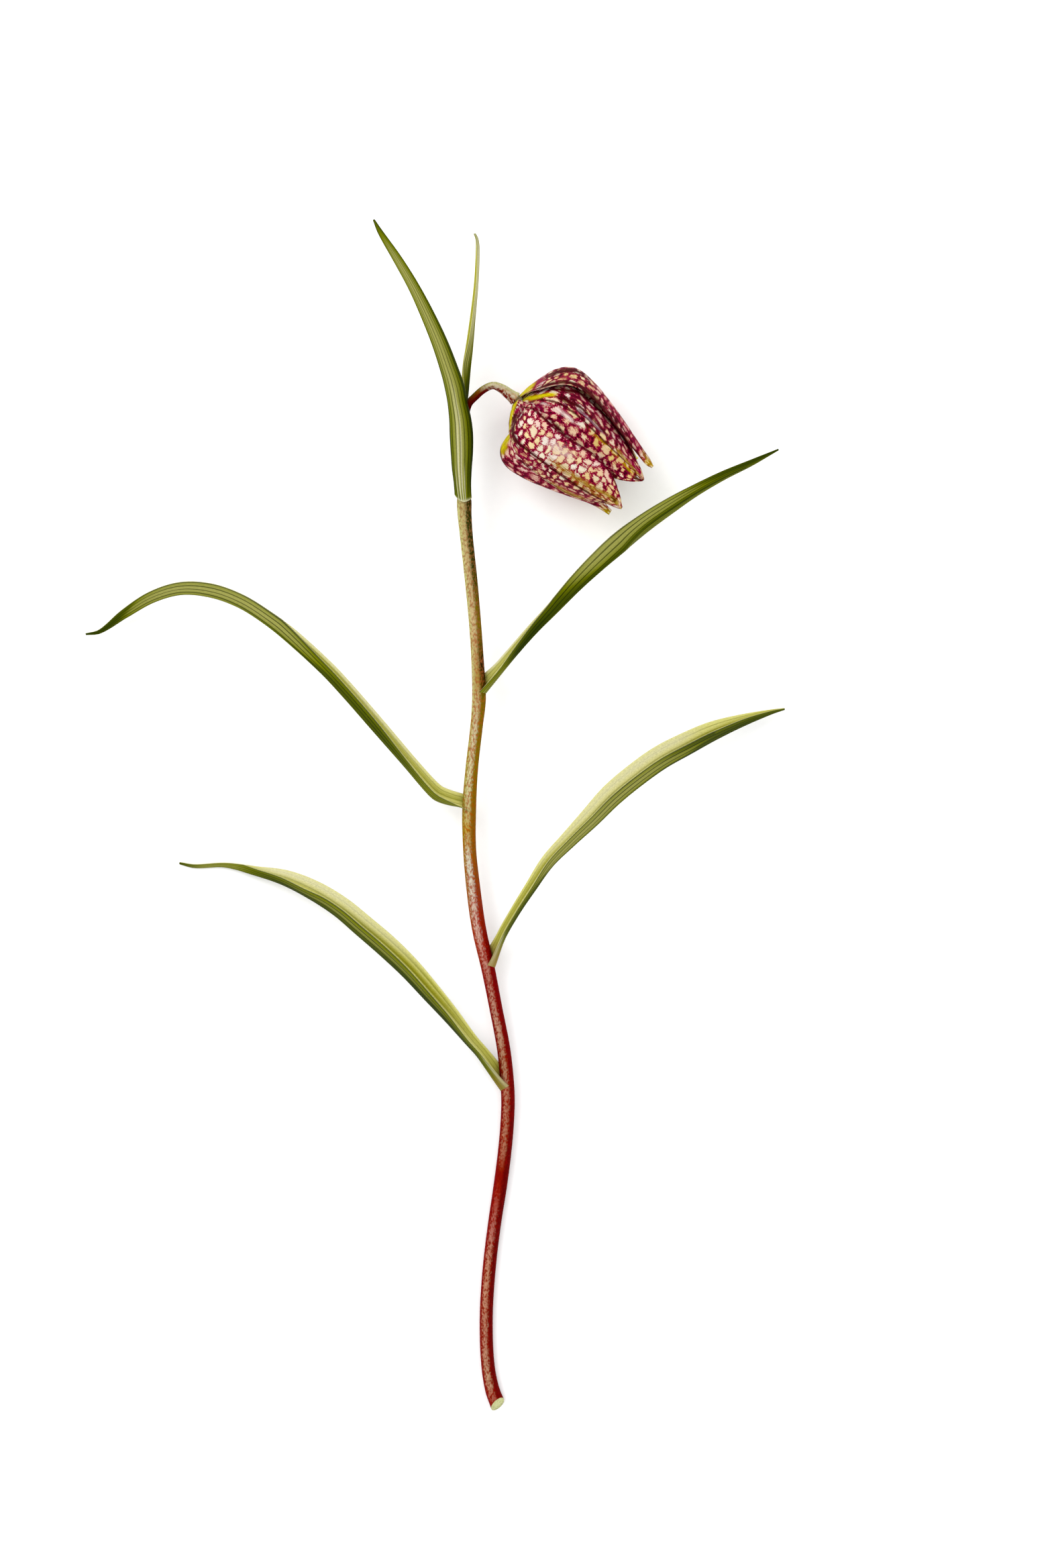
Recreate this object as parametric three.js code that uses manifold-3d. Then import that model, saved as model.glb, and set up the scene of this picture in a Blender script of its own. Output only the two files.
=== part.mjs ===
// A cut flowering stem of a snake's head fritillary, lying on a table: one stem that bends over
// into a nodding bell, six grass-like leaves and the organs inside the bell.
// Millimetres, +Z up, +Y along the stem towards the flower. The origin is on the table, under
// the middle of the bounding box.

import * as THREE from 'three';
import { mergeVertices } from 'three/addons/utils/BufferGeometryUtils.js';
import Module from 'manifold-3d';

// Driving dimensions
const GAP = 0.3;
const LOOSE_GAP = 0.4;
const STEM_RADIUS = 1.74;
const PEDICEL_RADIUS = 1.0;
const LEAF_THICKNESS = 0.6;
const KEEL_ROUNDING = 0.16;
const TEPAL_THICKNESS = 0.6;
const WHORL_STEP = 1.3;
const RECEPTACLE_RADIUS = 1.85;
const BELL_LOBES = 0.35;
const BELL_HEADING = -37;
const BELL_TILT = 7;
const BELL_PRESSED = 0.45;

// Mesh fineness
const STEM_SIDES = 10;
const STEM_STEP = 4;
const LEAF_STEPS = 26;
const LEAF_ACROSS = [-1, -0.72, -0.44, -0.2, 0, 0.2, 0.44, 0.72, 1];
const TEPAL_STEPS = 20;
const TEPAL_ACROSS = 10;

const COLOURS = {
  stem: 0x8a5a3c,
  leaf: 0x7c8430,
  tepal_outer: 0xa8455c,
  tepal_inner: 0x8e2f4c,
  pistil: 0x9fb24a,
  filament: 0xd8dcb0,
  anther: 0xe0b21c,
};

const UP = new THREE.Vector3(0, 0, 1);

// Smooth curves through rows of numbers

function smoothTable(knots, rows) {
  const slopes = rows.map((row, i) => {
    const before = Math.max(i - 1, 0);
    const after = Math.min(i + 1, rows.length - 1);
    return row.map((_, c) => (rows[after][c] - rows[before][c]) / (knots[after] - knots[before]));
  });
  return (t) => {
    const inside = THREE.MathUtils.clamp(t, knots[0], knots[knots.length - 1]);
    const next = knots.findIndex((knot, k) => k > 0 && knot >= inside);
    const i = next - 1;
    const width = knots[next] - knots[i];
    const x = (inside - knots[i]) / width;
    return rows[i].map((value, c) => {
      const start = value * (2 * x ** 3 - 3 * x ** 2 + 1);
      const end = rows[next][c] * (3 * x ** 2 - 2 * x ** 3);
      const leaving = slopes[i][c] * (x ** 3 - 2 * x ** 2 + x);
      const arriving = slopes[next][c] * (x ** 3 - x ** 2);
      return start + end + width * (leaving + arriving);
    });
  };
}

// Rows that start with their own place, from 0 to 1
function table(rows) {
  return smoothTable(rows.map((row) => row[0]), rows.map((row) => row.slice(1)));
}

// Rows x, y, z and more, placed by the share of the way from the first to the last
function pathTable(rows) {
  return smoothTable(sharesOfWay(rows), rows);
}

function sharesOfWay(rows) {
  const lengths = rows.map((row, i) => (i === 0 ? 0 : distance(row, rows[i - 1])));
  const total = lengths.reduce((sum, length) => sum + length, 0);
  let gone = 0;
  return lengths.map((length) => {
    gone += length;
    return gone / total;
  });
}

function distance(a, b) {
  return Math.hypot(a[0] - b[0], a[1] - b[1], a[2] - b[2]);
}

function frameAt(path, t, reference) {
  const step = 0.002;
  const ahead = new THREE.Vector3(...path(Math.min(t + step, 1)));
  const behind = new THREE.Vector3(...path(Math.max(t - step, 0)));
  const along = ahead.sub(behind).normalize();
  const up = reference.clone().addScaledVector(along, -reference.dot(along)).normalize();
  const across = new THREE.Vector3().crossVectors(along, up);
  return { centre: new THREE.Vector3(...path(t)), along, up, across };
}

// Closed bodies

function signedVolume(points, triangles) {
  return triangles.reduce((sum, [a, b, c]) => {
    const normal = new THREE.Vector3().crossVectors(points[b], points[c]);
    return sum + points[a].dot(normal) / 6;
  }, 0);
}

function bodyFrom(points, triangles) {
  const outward = signedVolume(points, triangles) > 0;
  const faces = outward ? triangles : triangles.map(([a, b, c]) => [a, c, b]);
  const geometry = new THREE.BufferGeometry();
  const numbers = points.flatMap((point) => point.toArray());
  geometry.setAttribute('position', new THREE.Float32BufferAttribute(numbers, 3));
  geometry.setIndex(faces.flat());
  geometry.computeVertexNormals();
  return geometry;
}

// A body through rings of points, each end closed by a fan round the ring's middle
function ringBody(rings) {
  const sides = rings[0].length;
  const points = rings.flat();
  const triangles = [];
  for (let i = 0; i + 1 < rings.length; i += 1) {
    for (let j = 0; j < sides; j += 1) {
      const a = i * sides + j;
      const b = i * sides + ((j + 1) % sides);
      triangles.push([a, b, b + sides], [a, b + sides, a + sides]);
    }
  }
  const first = points.push(middleOf(rings[0])) - 1;
  const last = points.push(middleOf(rings[rings.length - 1])) - 1;
  const lastRing = (rings.length - 1) * sides;
  for (let j = 0; j < sides; j += 1) {
    const k = (j + 1) % sides;
    triangles.push([first, k, j], [last, lastRing + j, lastRing + k]);
  }
  return bodyFrom(points, triangles);
}

function middleOf(ring) {
  const sum = ring.reduce((total, point) => total.add(point), new THREE.Vector3());
  return sum.divideScalar(ring.length);
}

// A thin blade between two grids of points, its outer and its inner face
function bladeBody(outer, inner) {
  const rows = outer.length;
  const columns = outer[0].length;
  const points = [...outer.flat(), ...inner.flat()];
  const backside = rows * columns;
  const triangles = [];
  const quad = (a, b, c, d) => triangles.push([a, b, c], [a, c, d]);
  for (let i = 0; i + 1 < rows; i += 1) {
    for (let j = 0; j + 1 < columns; j += 1) {
      const a = i * columns + j;
      const b = a + columns;
      triangles.push([a, b, b + 1], [a, b + 1, a + 1]);
      triangles.push([backside + a, backside + b + 1, backside + b]);
      triangles.push([backside + a, backside + a + 1, backside + b + 1]);
    }
    const left = i * columns;
    const right = left + columns - 1;
    quad(left, backside + left, backside + left + columns, left + columns);
    quad(right + columns, backside + right + columns, backside + right, right);
  }
  const lastRow = (rows - 1) * columns;
  for (let j = 0; j + 1 < columns; j += 1) {
    quad(j, j + 1, backside + j + 1, backside + j);
    quad(lastRow + j + 1, lastRow + j, backside + lastRow + j, backside + lastRow + j + 1);
  }
  return bodyFrom(points, triangles);
}

function ringAt({ centre, up, across }, radius, sides) {
  return Array.from({ length: sides }, (_, j) => {
    const angle = (2 * Math.PI * j) / sides;
    return centre
      .clone()
      .addScaledVector(across, radius * Math.cos(angle))
      .addScaledVector(up, radius * Math.sin(angle));
  });
}

// A round body along rows x, y, z, radius
function rodGeometry(rows, sides, steps, reference) {
  const path = pathTable(rows);
  const rings = [];
  for (let i = 0; i <= steps; i += 1) {
    const t = i / steps;
    rings.push(ringAt(frameAt(xyz(path), t, reference), path(t)[3], sides));
  }
  return ringBody(rings);
}

function xyz(path) {
  return (t) => path(t).slice(0, 3);
}

// The bell's own frame: along its axis from the receptacle to the mouth, and two directions
// across it, one towards the sky and one level

const heading = THREE.MathUtils.degToRad(BELL_HEADING);
const tilt = THREE.MathUtils.degToRad(BELL_TILT);
const bellAxis = new THREE.Vector3(
  Math.cos(heading) * Math.cos(tilt),
  Math.sin(heading) * Math.cos(tilt),
  -Math.sin(tilt),
);
const bellSky = UP.clone().addScaledVector(bellAxis, -UP.dot(bellAxis)).normalize();
const bellLevel = new THREE.Vector3().crossVectors(bellAxis, bellSky).negate();

// The bell's side view, rows of distance along the axis and radius, from base to mouth
const bellProfile = pathTable(
  [
    [0.0, 1.85], [0.4, 4.4], [1.2, 7.0], [2.2, 9.8], [3.8, 12.6], [6.3, 14.9], [9.0, 15.7], [12.5, 15.5],
    [16.0, 14.9], [20.0, 13.9], [25.0, 12.5], [30.0, 10.9], [34.0, 9.7], [37.0, 9.0], [39.5, 8.7],
  ].map(([along, radius]) => [along, radius, 0]),
);

// Half the width of a tepal against its length, from its claw to its tip
const tepalHalfWidth = table([
  [0.0, 0.95], [0.1, 3.7], [0.2, 6.6], [0.3, 7.7], [0.45, 7.7], [0.6, 8.1], [0.7, 8.2],
  [0.8, 7.2], [0.88, 5.2], [0.95, 2.7], [1.0, 0.4],
]);

// How deep the six folds between the midribs are, against the length
const lobeDepth = table([[0, 0], [0.12, 0], [0.3, 1], [0.7, 0.8], [1, 0.5]]);

// How the whole bell is wound, in degrees, against the length
const bellWinding = table([[0, 0], [0.5, -3], [1, -12]]);

// A point of the bell, sunk by a depth under its outermost skin, before it is set down
function bellPoint(u, degrees, depth) {
  const step = 0.004;
  const [along, radius] = bellProfile(u);
  const [alongAhead, radiusAhead] = bellProfile(Math.min(u + step, 1));
  const [alongBehind, radiusBehind] = bellProfile(Math.max(u - step, 0));
  const length = Math.hypot(alongAhead - alongBehind, radiusAhead - radiusBehind);
  const outAlong = -(radiusAhead - radiusBehind) / length;
  const outRadius = (alongAhead - alongBehind) / length;
  const wave = Math.cos(THREE.MathUtils.degToRad(6 * (degrees - 30 - bellWinding(u)[0])));
  const out = BELL_LOBES * lobeDepth(u)[0] * wave - depth;
  return bellDirection(degrees)
    .multiplyScalar(radius + out * outRadius)
    .addScaledVector(bellAxis, along + out * outAlong);
}

// 0 degrees looks at the sky, 90 degrees to the bell's level side
function bellDirection(degrees) {
  const angle = THREE.MathUtils.degToRad(degrees);
  return bellSky.clone().multiplyScalar(Math.cos(angle)).addScaledVector(bellLevel, Math.sin(angle));
}

// Tepals, three in the outer whorl and three in the inner one. Each has its midrib's place
// round the bell at its claw, its middle and its tip, a share of the common width, and a reach.
// The inner ones lie under their neighbours' edges and rise by a crest between them.

const tepals = {
  tepal_outer_front: { turn: [-26, -30, -44], wide: 1, reach: 0.985, crest: 0.3, dip: 0.6 },
  tepal_outer_side: { turn: [62, 85, 69], wide: 1, reach: 0.97, crest: 0.3, dip: 0 },
  tepal_outer_under: { turn: [180, 200, 214], wide: 1.15, reach: 0.95, crest: 0.3, dip: 0 },
  tepal_inner_front: { inner: true, turn: [19, 27, 21], wide: 1, reach: 0.985, crest: 0.6, dip: 0 },
  tepal_inner_back: { inner: true, turn: [130, 141, 132], wide: 1.2, reach: 0.95, crest: 1, dip: 0 },
  tepal_inner_side: { inner: true, turn: [262, 266, 271], wide: 1.25, reach: 0.965, crest: 1.2, dip: 1.2 },
};

// How much of the crest there is against the length, and how far the inner whorl stays inside
const crestRise = table([[0, 0], [0.12, 0], [0.3, 1], [1, 1]]);
const whorlDepth = table([[0, 1], [0.85, 1], [1, 0.3]]);
const baseDip = table([[0, 0], [0.06, 0.3], [0.14, 1], [0.2, 0.5], [0.27, 0], [1, 0]]);

// A point of a tepal at a share of its length and of its half width, under its outer face
function tepalPoint(tepal, share, s, under) {
  const u = share * tepal.reach;
  const midrib = table([[0, tepal.turn[0]], [0.5, tepal.turn[1]], [1, tepal.turn[2]]])(share)[0];
  const width = tepal.wide * tepalHalfWidth(share)[0];
  const half = THREE.MathUtils.radToDeg(width / bellProfile(u)[1]);
  const reach = tepal.inner ? 0.52 : 1;
  const hump = (1 - Math.min(1, Math.abs(s) / reach) ** 2) ** 2;
  const step = tepal.inner ? WHORL_STEP * whorlDepth(share)[0] : 0;
  const crest = tepal.crest * hump * crestRise(share)[0];
  const depth = step - crest + tepal.dip * baseDip(share)[0] + under;
  return bellPoint(u, midrib + half * s, depth);
}

// The bell lies on one outer tepal, which the table presses flat by BELL_PRESSED
function lowestOfBell() {
  let lowest = 0;
  for (let share = 0; share <= 1; share += 0.01) {
    for (let s = -1; s <= 1; s += 0.05) {
      lowest = Math.min(lowest, tepalPoint(tepals.tepal_outer_under, share, s, 0).z);
    }
  }
  return lowest;
}

const bellBase = new THREE.Vector3(21.6, 109.6, -lowestOfBell() - BELL_PRESSED);

function onBell(along, radius, degrees) {
  return bellDirection(degrees)
    .multiplyScalar(radius)
    .addScaledVector(bellAxis, along)
    .add(bellBase);
}

// Stem, rows x, y, z and radius from the cut end to just under the receptacle

function beforeBell(along) {
  return bellBase.clone().addScaledVector(bellAxis, -along).toArray();
}

const stemRows = [
  [16.6, -155.65, 1.9, 2.05],
  [15.2, -151.9, 1.75, 1.92],
  [14.1, -146.0, 1.63, 1.78],
  [13.6, -138.0, 1.6, STEM_RADIUS],
  [13.7, -128.9, 1.6, STEM_RADIUS],
  [14.5, -118.3, 1.6, STEM_RADIUS],
  [15.8, -107.7, 1.65, STEM_RADIUS],
  [17.4, -97.1, 1.9, 1.8],
  [18.7, -86.5, 2.3, 1.8],
  [19.3, -77.6, 2.8, 1.8],
  [19.2, -71.6, 3.2, 1.82],
  [18.2, -61.7, 3.9, 1.77],
  [16.2, -51.1, 4.6, 1.72],
  [14.1, -40.4, 5.3, 1.8],
  [11.7, -29.8, 5.9, 1.88],
  [10.2, -19.2, 6.5, 1.87],
  [9.2, -8.6, 7.0, STEM_RADIUS],
  [9.1, 2.0, 7.5, 1.84],
  [9.8, 12.7, 8.0, 1.68],
  [11.0, 23.3, 8.5, 1.66],
  [11.7, 31.2, 8.9, 1.83],
  [11.3, 41.4, 9.4, 1.66],
  [10.6, 51.6, 9.9, 1.62],
  [9.6, 62.5, 10.4, 1.68],
  [8.4, 73.7, 10.9, 1.71],
  [7.9, 79.6, 11.2, 1.86],
  [7.8, 83.2, 11.35, 2.05],
  [7.75, 83.9, 11.4, 1.3],
  [7.5, 90.0, 11.7, 1.2],
  [7.4, 97.0, 12.3, PEDICEL_RADIUS],
  [7.8, 103.5, 13.0, PEDICEL_RADIUS],
  [8.9, 108.4, 14.1, PEDICEL_RADIUS],
  [10.8, 110.5, 15.2, PEDICEL_RADIUS],
  [13.1, 112.4, 16.2, PEDICEL_RADIUS],
  [15.5, 113.3, 17.1, PEDICEL_RADIUS],
  [...beforeBell(4.6), 1.25].flat(),
  [...beforeBell(2.6), 1.45].flat(),
];

const stemPath = pathTable(stemRows);

// Above this height the stem bends over, and no leaf touches it
const BEND_Y = 107;

// The receptacle: the cap under the tepals, and the post that they stand round
const receptacleRows = [
  [-1.4, 1.6],
  [-GAP - 0.25, RECEPTACLE_RADIUS],
  [-GAP, 1.8],
  [-GAP + 0.02, 1.4],
  [0.8, 1.25],
  [2.25, 1.1],
];

// The cut goes across the stem at a slant, so that its face looks out, right and up
const cutNormal = new THREE.Vector3(0.55, -0.67, 0.49).normalize();
const CUT_REACH = 5;

// Stations at every row of the stem and between them
function stemStations() {
  const knots = sharesOfWay(stemRows);
  const stations = [0];
  for (let i = 1; i < knots.length; i += 1) {
    const steps = Math.max(Math.round(distance(stemRows[i], stemRows[i - 1]) / STEM_STEP), 1);
    const bent = i > knots.length - 9 ? 2 * steps : steps;
    for (let k = 1; k <= bent; k += 1) {
      stations.push(THREE.MathUtils.lerp(knots[i - 1], knots[i], k / bent));
    }
  }
  return stations;
}

function stemGeometry() {
  const end = new THREE.Vector3(...stemPath(0));
  const rings = [];
  for (const t of stemStations()) {
    const frame = frameAt(xyz(stemPath), t, UP);
    const fade = Math.max(0, 1 - frame.centre.distanceTo(end) / CUT_REACH);
    const ring = ringAt(frame, stemPath(t)[3], STEM_SIDES).map((point) => {
      const aside = point.clone().sub(frame.centre);
      const slide = -cutNormal.dot(aside) / cutNormal.dot(frame.along);
      return pressedFlat(point.addScaledVector(frame.along, fade * slide), 0);
    });
    rings.push(ring);
  }
  for (const [along, radius] of receptacleRows) {
    const frame = { centre: onBell(along, 0, 0), up: bellSky, across: bellLevel.clone().negate() };
    rings.push(ringAt(frame, radius, STEM_SIDES));
  }
  return ringBody(rings);
}

function pressedFlat(point, floor) {
  point.z = Math.max(point.z, floor);
  return point;
}

// Leaves. Each is a channelled blade whose folded section turns as it goes. A path row is the
// middle of the blade as seen from above, the height of its keel and the width seen. A section
// row is a share of the length, the fold of each half away from flat, the roll of the channel
// from facing the sky (0) over facing sideways (90) to facing the table (180), and how far the
// section is an arc instead of a V. The base clasps the stem on the side opposite to the channel.

const leaves = {
  leaf_lowest_left: {
    side: 1,
    base: { y: -72.6, stem: 1.82, wrap: [-80, 104], rise: [5.4, 1.5], turn: 0, reach: 7 },
    path: [
      [16.4, -68.7, 3.9, 3.5],
      [14.9, -65.6, 4.9, 3.8],
      [12.4, -62.2, 6.0, 3.5],
      [9.7, -59.1, 7.0, 3.6],
      [4.5, -52.6, 8.6, 4.5],
      [-0.9, -46.3, 9.7, 5.3],
      [-6.4, -40.1, 10.2, 5.8],
      [-12.4, -34.3, 10.0, 6.1],
      [-18.6, -29.0, 9.2, 6.0],
      [-24.9, -23.8, 8.0, 5.7],
      [-31.9, -19.5, 6.3, 5.3],
      [-39.5, -16.2, 4.4, 4.2],
      [-47.5, -14.4, 2.4, 2.5],
      [-55.6, -12.9, 0.9, 1.3],
      [-63.7, -13.2, 0.55, 1.1],
      [-67.7, -12.4, 0.5, 0.7],
    ],
    section: [
      [0, 52, 62, 0], [0.12, 52, 60, 0], [0.22, 57, 61, 0], [0.6, 58, 62, 0], [0.68, 54, 60, 0],
      [0.78, 50, 75, 0], [0.86, 42, 95, 0], [1, 30, 110, 0],
    ],
  },
  leaf_lower_right: {
    side: -1,
    base: { y: -40.4, stem: 1.8, wrap: [-80, 92], rise: [5.0, 1.2], turn: 0, reach: 6 },
    path: [
      [15.8, -37.0, 5.6, 2.6],
      [17.0, -32.5, 6.8, 2.6],
      [20.9, -25.4, 8.6, 2.75],
      [25.3, -18.5, 10.2, 3.2],
      [29.7, -11.9, 11.5, 3.8],
      [35.2, -6.1, 12.4, 4.5],
      [40.9, -0.3, 12.9, 5.5],
      [46.5, 5.6, 13.0, 6.2],
      [52.7, 10.8, 12.5, 6.4],
      [59.3, 15.5, 11.4, 6.4],
      [66.2, 19.2, 9.8, 6.1],
      [73.3, 22.6, 7.8, 5.2],
      [81.1, 25.4, 5.4, 3.4],
      [88.8, 27.6, 3.2, 1.5],
      [92.5, 28.4, 2.3, 0.7],
    ],
    section: [
      [0, 52, 62, 0], [0.08, 52, 62, 0], [0.2, 54, 62, 0], [0.33, 58, 65, 0], [0.5, 59, 62, 0],
      [0.8, 58, 62, 0], [0.9, 52, 73, 0], [1, 40, 85, 0],
    ],
  },
  leaf_upper_left: {
    side: 1,
    base: { y: 2.4, stem: 1.84, wrap: [-80, 92], rise: [3.2, -1.2], turn: 0, reach: 6 },
    path: [
      [6.4, 4.2, 7.5, 3.4],
      [3.5, 4.9, 8.2, 4.1],
      [1.1, 6.1, 8.8, 4.2],
      [-1.1, 8.1, 9.4, 4.0],
      [-6.5, 14.3, 10.8, 3.8],
      [-14.6, 23.7, 12.4, 4.05],
      [-22.7, 33.0, 13.4, 4.1],
      [-28.3, 39.0, 13.7, 4.1],
      [-37.5, 47.4, 13.4, 4.0],
      [-44.0, 52.4, 12.6, 3.7],
      [-51.1, 56.8, 11.3, 3.65],
      [-58.9, 59.6, 9.6, 3.7],
      [-67.1, 60.2, 7.6, 3.4],
      [-75.0, 57.9, 5.4, 3.1],
      [-82.1, 53.6, 3.4, 2.6],
      [-88.7, 48.9, 1.7, 1.3],
      [-92.5, 48.2, 1.1, 0.7],
    ],
    section: [
      [0, 52, 62, 0], [0.1, 52, 63, 0], [0.14, 54, 64, 0], [0.25, 60, 70, 0], [0.4, 61, 72, 0],
      [0.5, 56, 85, 0], [0.62, 46, 104, 0], [0.8, 36, 120, 0], [1, 30, 130, 0],
    ],
  },
  leaf_upper_right: {
    side: -1,
    base: { y: 32.4, stem: 1.83, wrap: [-80, 90], rise: [4.6, 0.4], turn: 0, reach: 6 },
    path: [
      [13.9, 35.4, 9.2, 3.1],
      [15.2, 37.1, 9.7, 3.1],
      [20.5, 43.4, 11.2, 2.95],
      [25.9, 49.5, 12.5, 3.05],
      [31.5, 55.3, 13.6, 3.45],
      [37.0, 61.3, 14.4, 4.25],
      [42.8, 67.0, 14.8, 5.0],
      [48.9, 72.4, 14.8, 5.5],
      [55.4, 77.4, 14.3, 5.0],
      [62.1, 81.9, 13.3, 4.3],
      [69.0, 86.1, 11.9, 3.3],
      [76.3, 90.0, 10.2, 2.6],
      [83.7, 93.4, 8.3, 1.9],
      [90.8, 96.9, 6.3, 0.7],
    ],
    section: [
      [0, 50, 61, 0], [0.05, 52, 62, 0], [0.13, 58, 72, 0], [0.2, 60, 82, 0], [0.28, 60, 90, 0],
      [0.36, 55, 100, 0], [0.5, 38, 125, 0], [0.6, 30, 138, 0], [1, 28, 142, 0],
    ],
  },
  leaf_top_back: {
    side: -1,
    base: { y: 84.4, stem: 1.25, wrap: [-58, 58], rise: [1, 1], turn: -90, reach: 6 },
    path: [
      [7.5, 85.6, 9.7, 3.0],
      [7.3, 93.0, 9.8, 3.2],
      [7.3, 100.3, 10.1, 3.0],
      [7.4, 107.3, 10.4, 2.2],
      [7.9, 112.7, 10.8, 2.1],
      [8.4, 118.9, 11.2, 2.2],
      [9.0, 123.3, 11.4, 2.0],
      [10.0, 132.1, 11.7, 1.5],
      [10.9, 141.0, 11.6, 1.25],
      [11.3, 149.5, 11.2, 1.1],
      [11.1, 152.2, 11.0, 0.9],
      [10.5, 153.6, 10.9, 0.7],
    ],
    section: [
      [0, 40, 0, 1], [0.15, 45, 8, 1], [0.35, 52, 60, 0.5], [0.48, 55, 85, 0], [0.6, 55, 72, 0],
      [0.8, 50, 62, 0], [0.92, 40, 80, 0], [1, 30, 95, 0],
    ],
  },
  leaf_top_front: {
    side: 1,
    base: { y: 82.9, stem: 2.05, wrap: [-62, 42], rise: [2.1, 0.9], turn: 90, reach: 4 },
    path: [
      [7.5, 83.9, 14.2, 4.3],
      [7.35, 87.9, 14.4, 4.7],
      [7.2, 91.8, 14.7, 5.4],
      [7.2, 95.8, 15.4, 6.0],
      [7.1, 100.1, 16.3, 6.25],
      [6.8, 104.3, 17.1, 5.85],
      [6.1, 108.5, 17.9, 5.25],
      [5.4, 112.5, 18.5, 5.3],
      [4.3, 116.4, 18.9, 4.95],
      [1.5, 124.3, 19.2, 4.4],
      [-1.8, 131.9, 18.9, 3.85],
      [-5.5, 139.4, 18.1, 3.2],
      [-9.7, 146.6, 16.9, 2.65],
      [-14.2, 153.7, 15.3, 1.7],
      [-16.0, 157.1, 14.5, 0.8],
    ],
    section: [
      [0, 60, 178, 1], [0.25, 60, 176, 1], [0.45, 45, 172, 0.4], [0.65, 36, 170, 0], [1, 30, 170, 0],
    ],
  },
};

// A point of the section of a blade of half width 1, across the channel and up out of it
function sectionPoint(s, fold, arc) {
  const angle = THREE.MathUtils.degToRad(fold);
  const vAcross = s * Math.cos(angle);
  const vUp = Math.sin(angle) * (Math.hypot(s, KEEL_ROUNDING) - KEEL_ROUNDING);
  const wrap = 1.4;
  const arcAcross = Math.sin(s * wrap) / wrap;
  const arcUp = (1 - Math.cos(s * wrap)) / wrap;
  return [THREE.MathUtils.lerp(vAcross, arcAcross, arc), THREE.MathUtils.lerp(vUp, arcUp, arc)];
}

// The blade's outer and inner face at one place of its length, as two rows of points
function bladeRows(leaf, path, section, t) {
  const [, , , seen] = path(t);
  const [fold, roll, arc] = section(t);
  const frame = frameAt(xyz(path), t, UP);
  const sideways = frame.across.multiplyScalar(leaf.side);
  const turned = THREE.MathUtils.degToRad(roll);
  const middle = LEAF_ACROSS.map((s) => {
    const [across, up] = sectionPoint(s, fold, arc);
    const [acrossAhead, upAhead] = sectionPoint(s + 0.01, fold, arc);
    const length = Math.hypot(acrossAhead - across, upAhead - up);
    const normal = [-(upAhead - up) / length, (acrossAhead - across) / length];
    return { point: [across, up], normal };
  });
  const level = ([across, up]) => up * Math.sin(turned) - across * Math.cos(turned);
  const rise = ([across, up]) => across * Math.sin(turned) + up * Math.cos(turned);
  const levels = middle.map(({ point }) => level(point));
  const low = Math.min(...levels);
  const high = Math.max(...levels);
  const halfWidth = Math.max(seen - 0.5 * LEAF_THICKNESS, 0.3) / (high - low);
  const shift = ((high + low) / 2) * halfWidth;
  const place = ({ point, normal }, offset) =>
    frame.centre
      .clone()
      .addScaledVector(sideways, level(point) * halfWidth - shift + level(normal) * offset)
      .addScaledVector(frame.up, rise(point) * halfWidth + rise(normal) * offset);
  return [-0.5, 0.5].map((face) => middle.map((entry) => place(entry, face * LEAF_THICKNESS)));
}

function stemShareAt(y) {
  let low = 0;
  let high = 0.9;
  for (let i = 0; i < 40; i += 1) {
    const half = (low + high) / 2;
    if (stemPath(half)[1] < y) {
      low = half;
    } else {
      high = half;
    }
  }
  return low;
}

// The two rows of points where a leaf clasps the stem
function claspRows(leaf) {
  const { y, stem, wrap, rise, turn } = leaf.base;
  const innerRadius = stem + GAP;
  return [LEAF_THICKNESS, 0].map((offset) =>
    LEAF_ACROSS.map((s) => {
      const half = s < 0 ? 0 : 1;
      const share = Math.abs(s);
      const frame = frameAt(xyz(stemPath), stemShareAt(y + rise[half] * share ** 1.5), UP);
      const angle = THREE.MathUtils.degToRad(turn + share * wrap[half]);
      return frame.centre
        .clone()
        .addScaledVector(frame.across, -leaf.side * Math.cos(angle) * (innerRadius + offset))
        .addScaledVector(frame.up, Math.sin(angle) * (innerRadius + offset));
    }),
  );
}

// Moves a point straight out from the stem's axis until it is clear of the stem
function clearOfStem(point, spare) {
  if (point.y > BEND_Y) {
    return point;
  }
  const share = stemShareAt(point.y);
  const { centre, along } = frameAt(xyz(stemPath), share, UP);
  const aside = point.clone().sub(centre);
  aside.addScaledVector(along, -aside.dot(along));
  const short = stemPath(share)[3] + LOOSE_GAP + spare - aside.length();
  return short > 0 ? point.addScaledVector(aside.normalize(), short) : point;
}

function leafGeometry(leaf) {
  const path = pathTable(leaf.path);
  const section = table(leaf.section);
  const clasp = claspRows(leaf);
  const start = new THREE.Vector3(...path(0));
  const outer = [];
  const inner = [];
  for (let i = 0; i <= LEAF_STEPS; i += 1) {
    const t = (i / LEAF_STEPS) ** 1.3;
    const gone = new THREE.Vector3(...path(t)).distanceTo(start);
    const hold = 1 - THREE.MathUtils.smoothstep(gone, 0, leaf.base.reach);
    const faces = bladeRows(leaf, path, section, t).map((row, face) =>
      row.map((point, j) => {
        const held = clearOfStem(point.lerp(clasp[face][j], hold), (1 - face) * LEAF_THICKNESS);
        return pressedFlat(held, face * LEAF_THICKNESS);
      }),
    );
    outer.push(faces[0]);
    inner.push(faces[1]);
  }
  return bladeBody(outer, inner);
}

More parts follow.
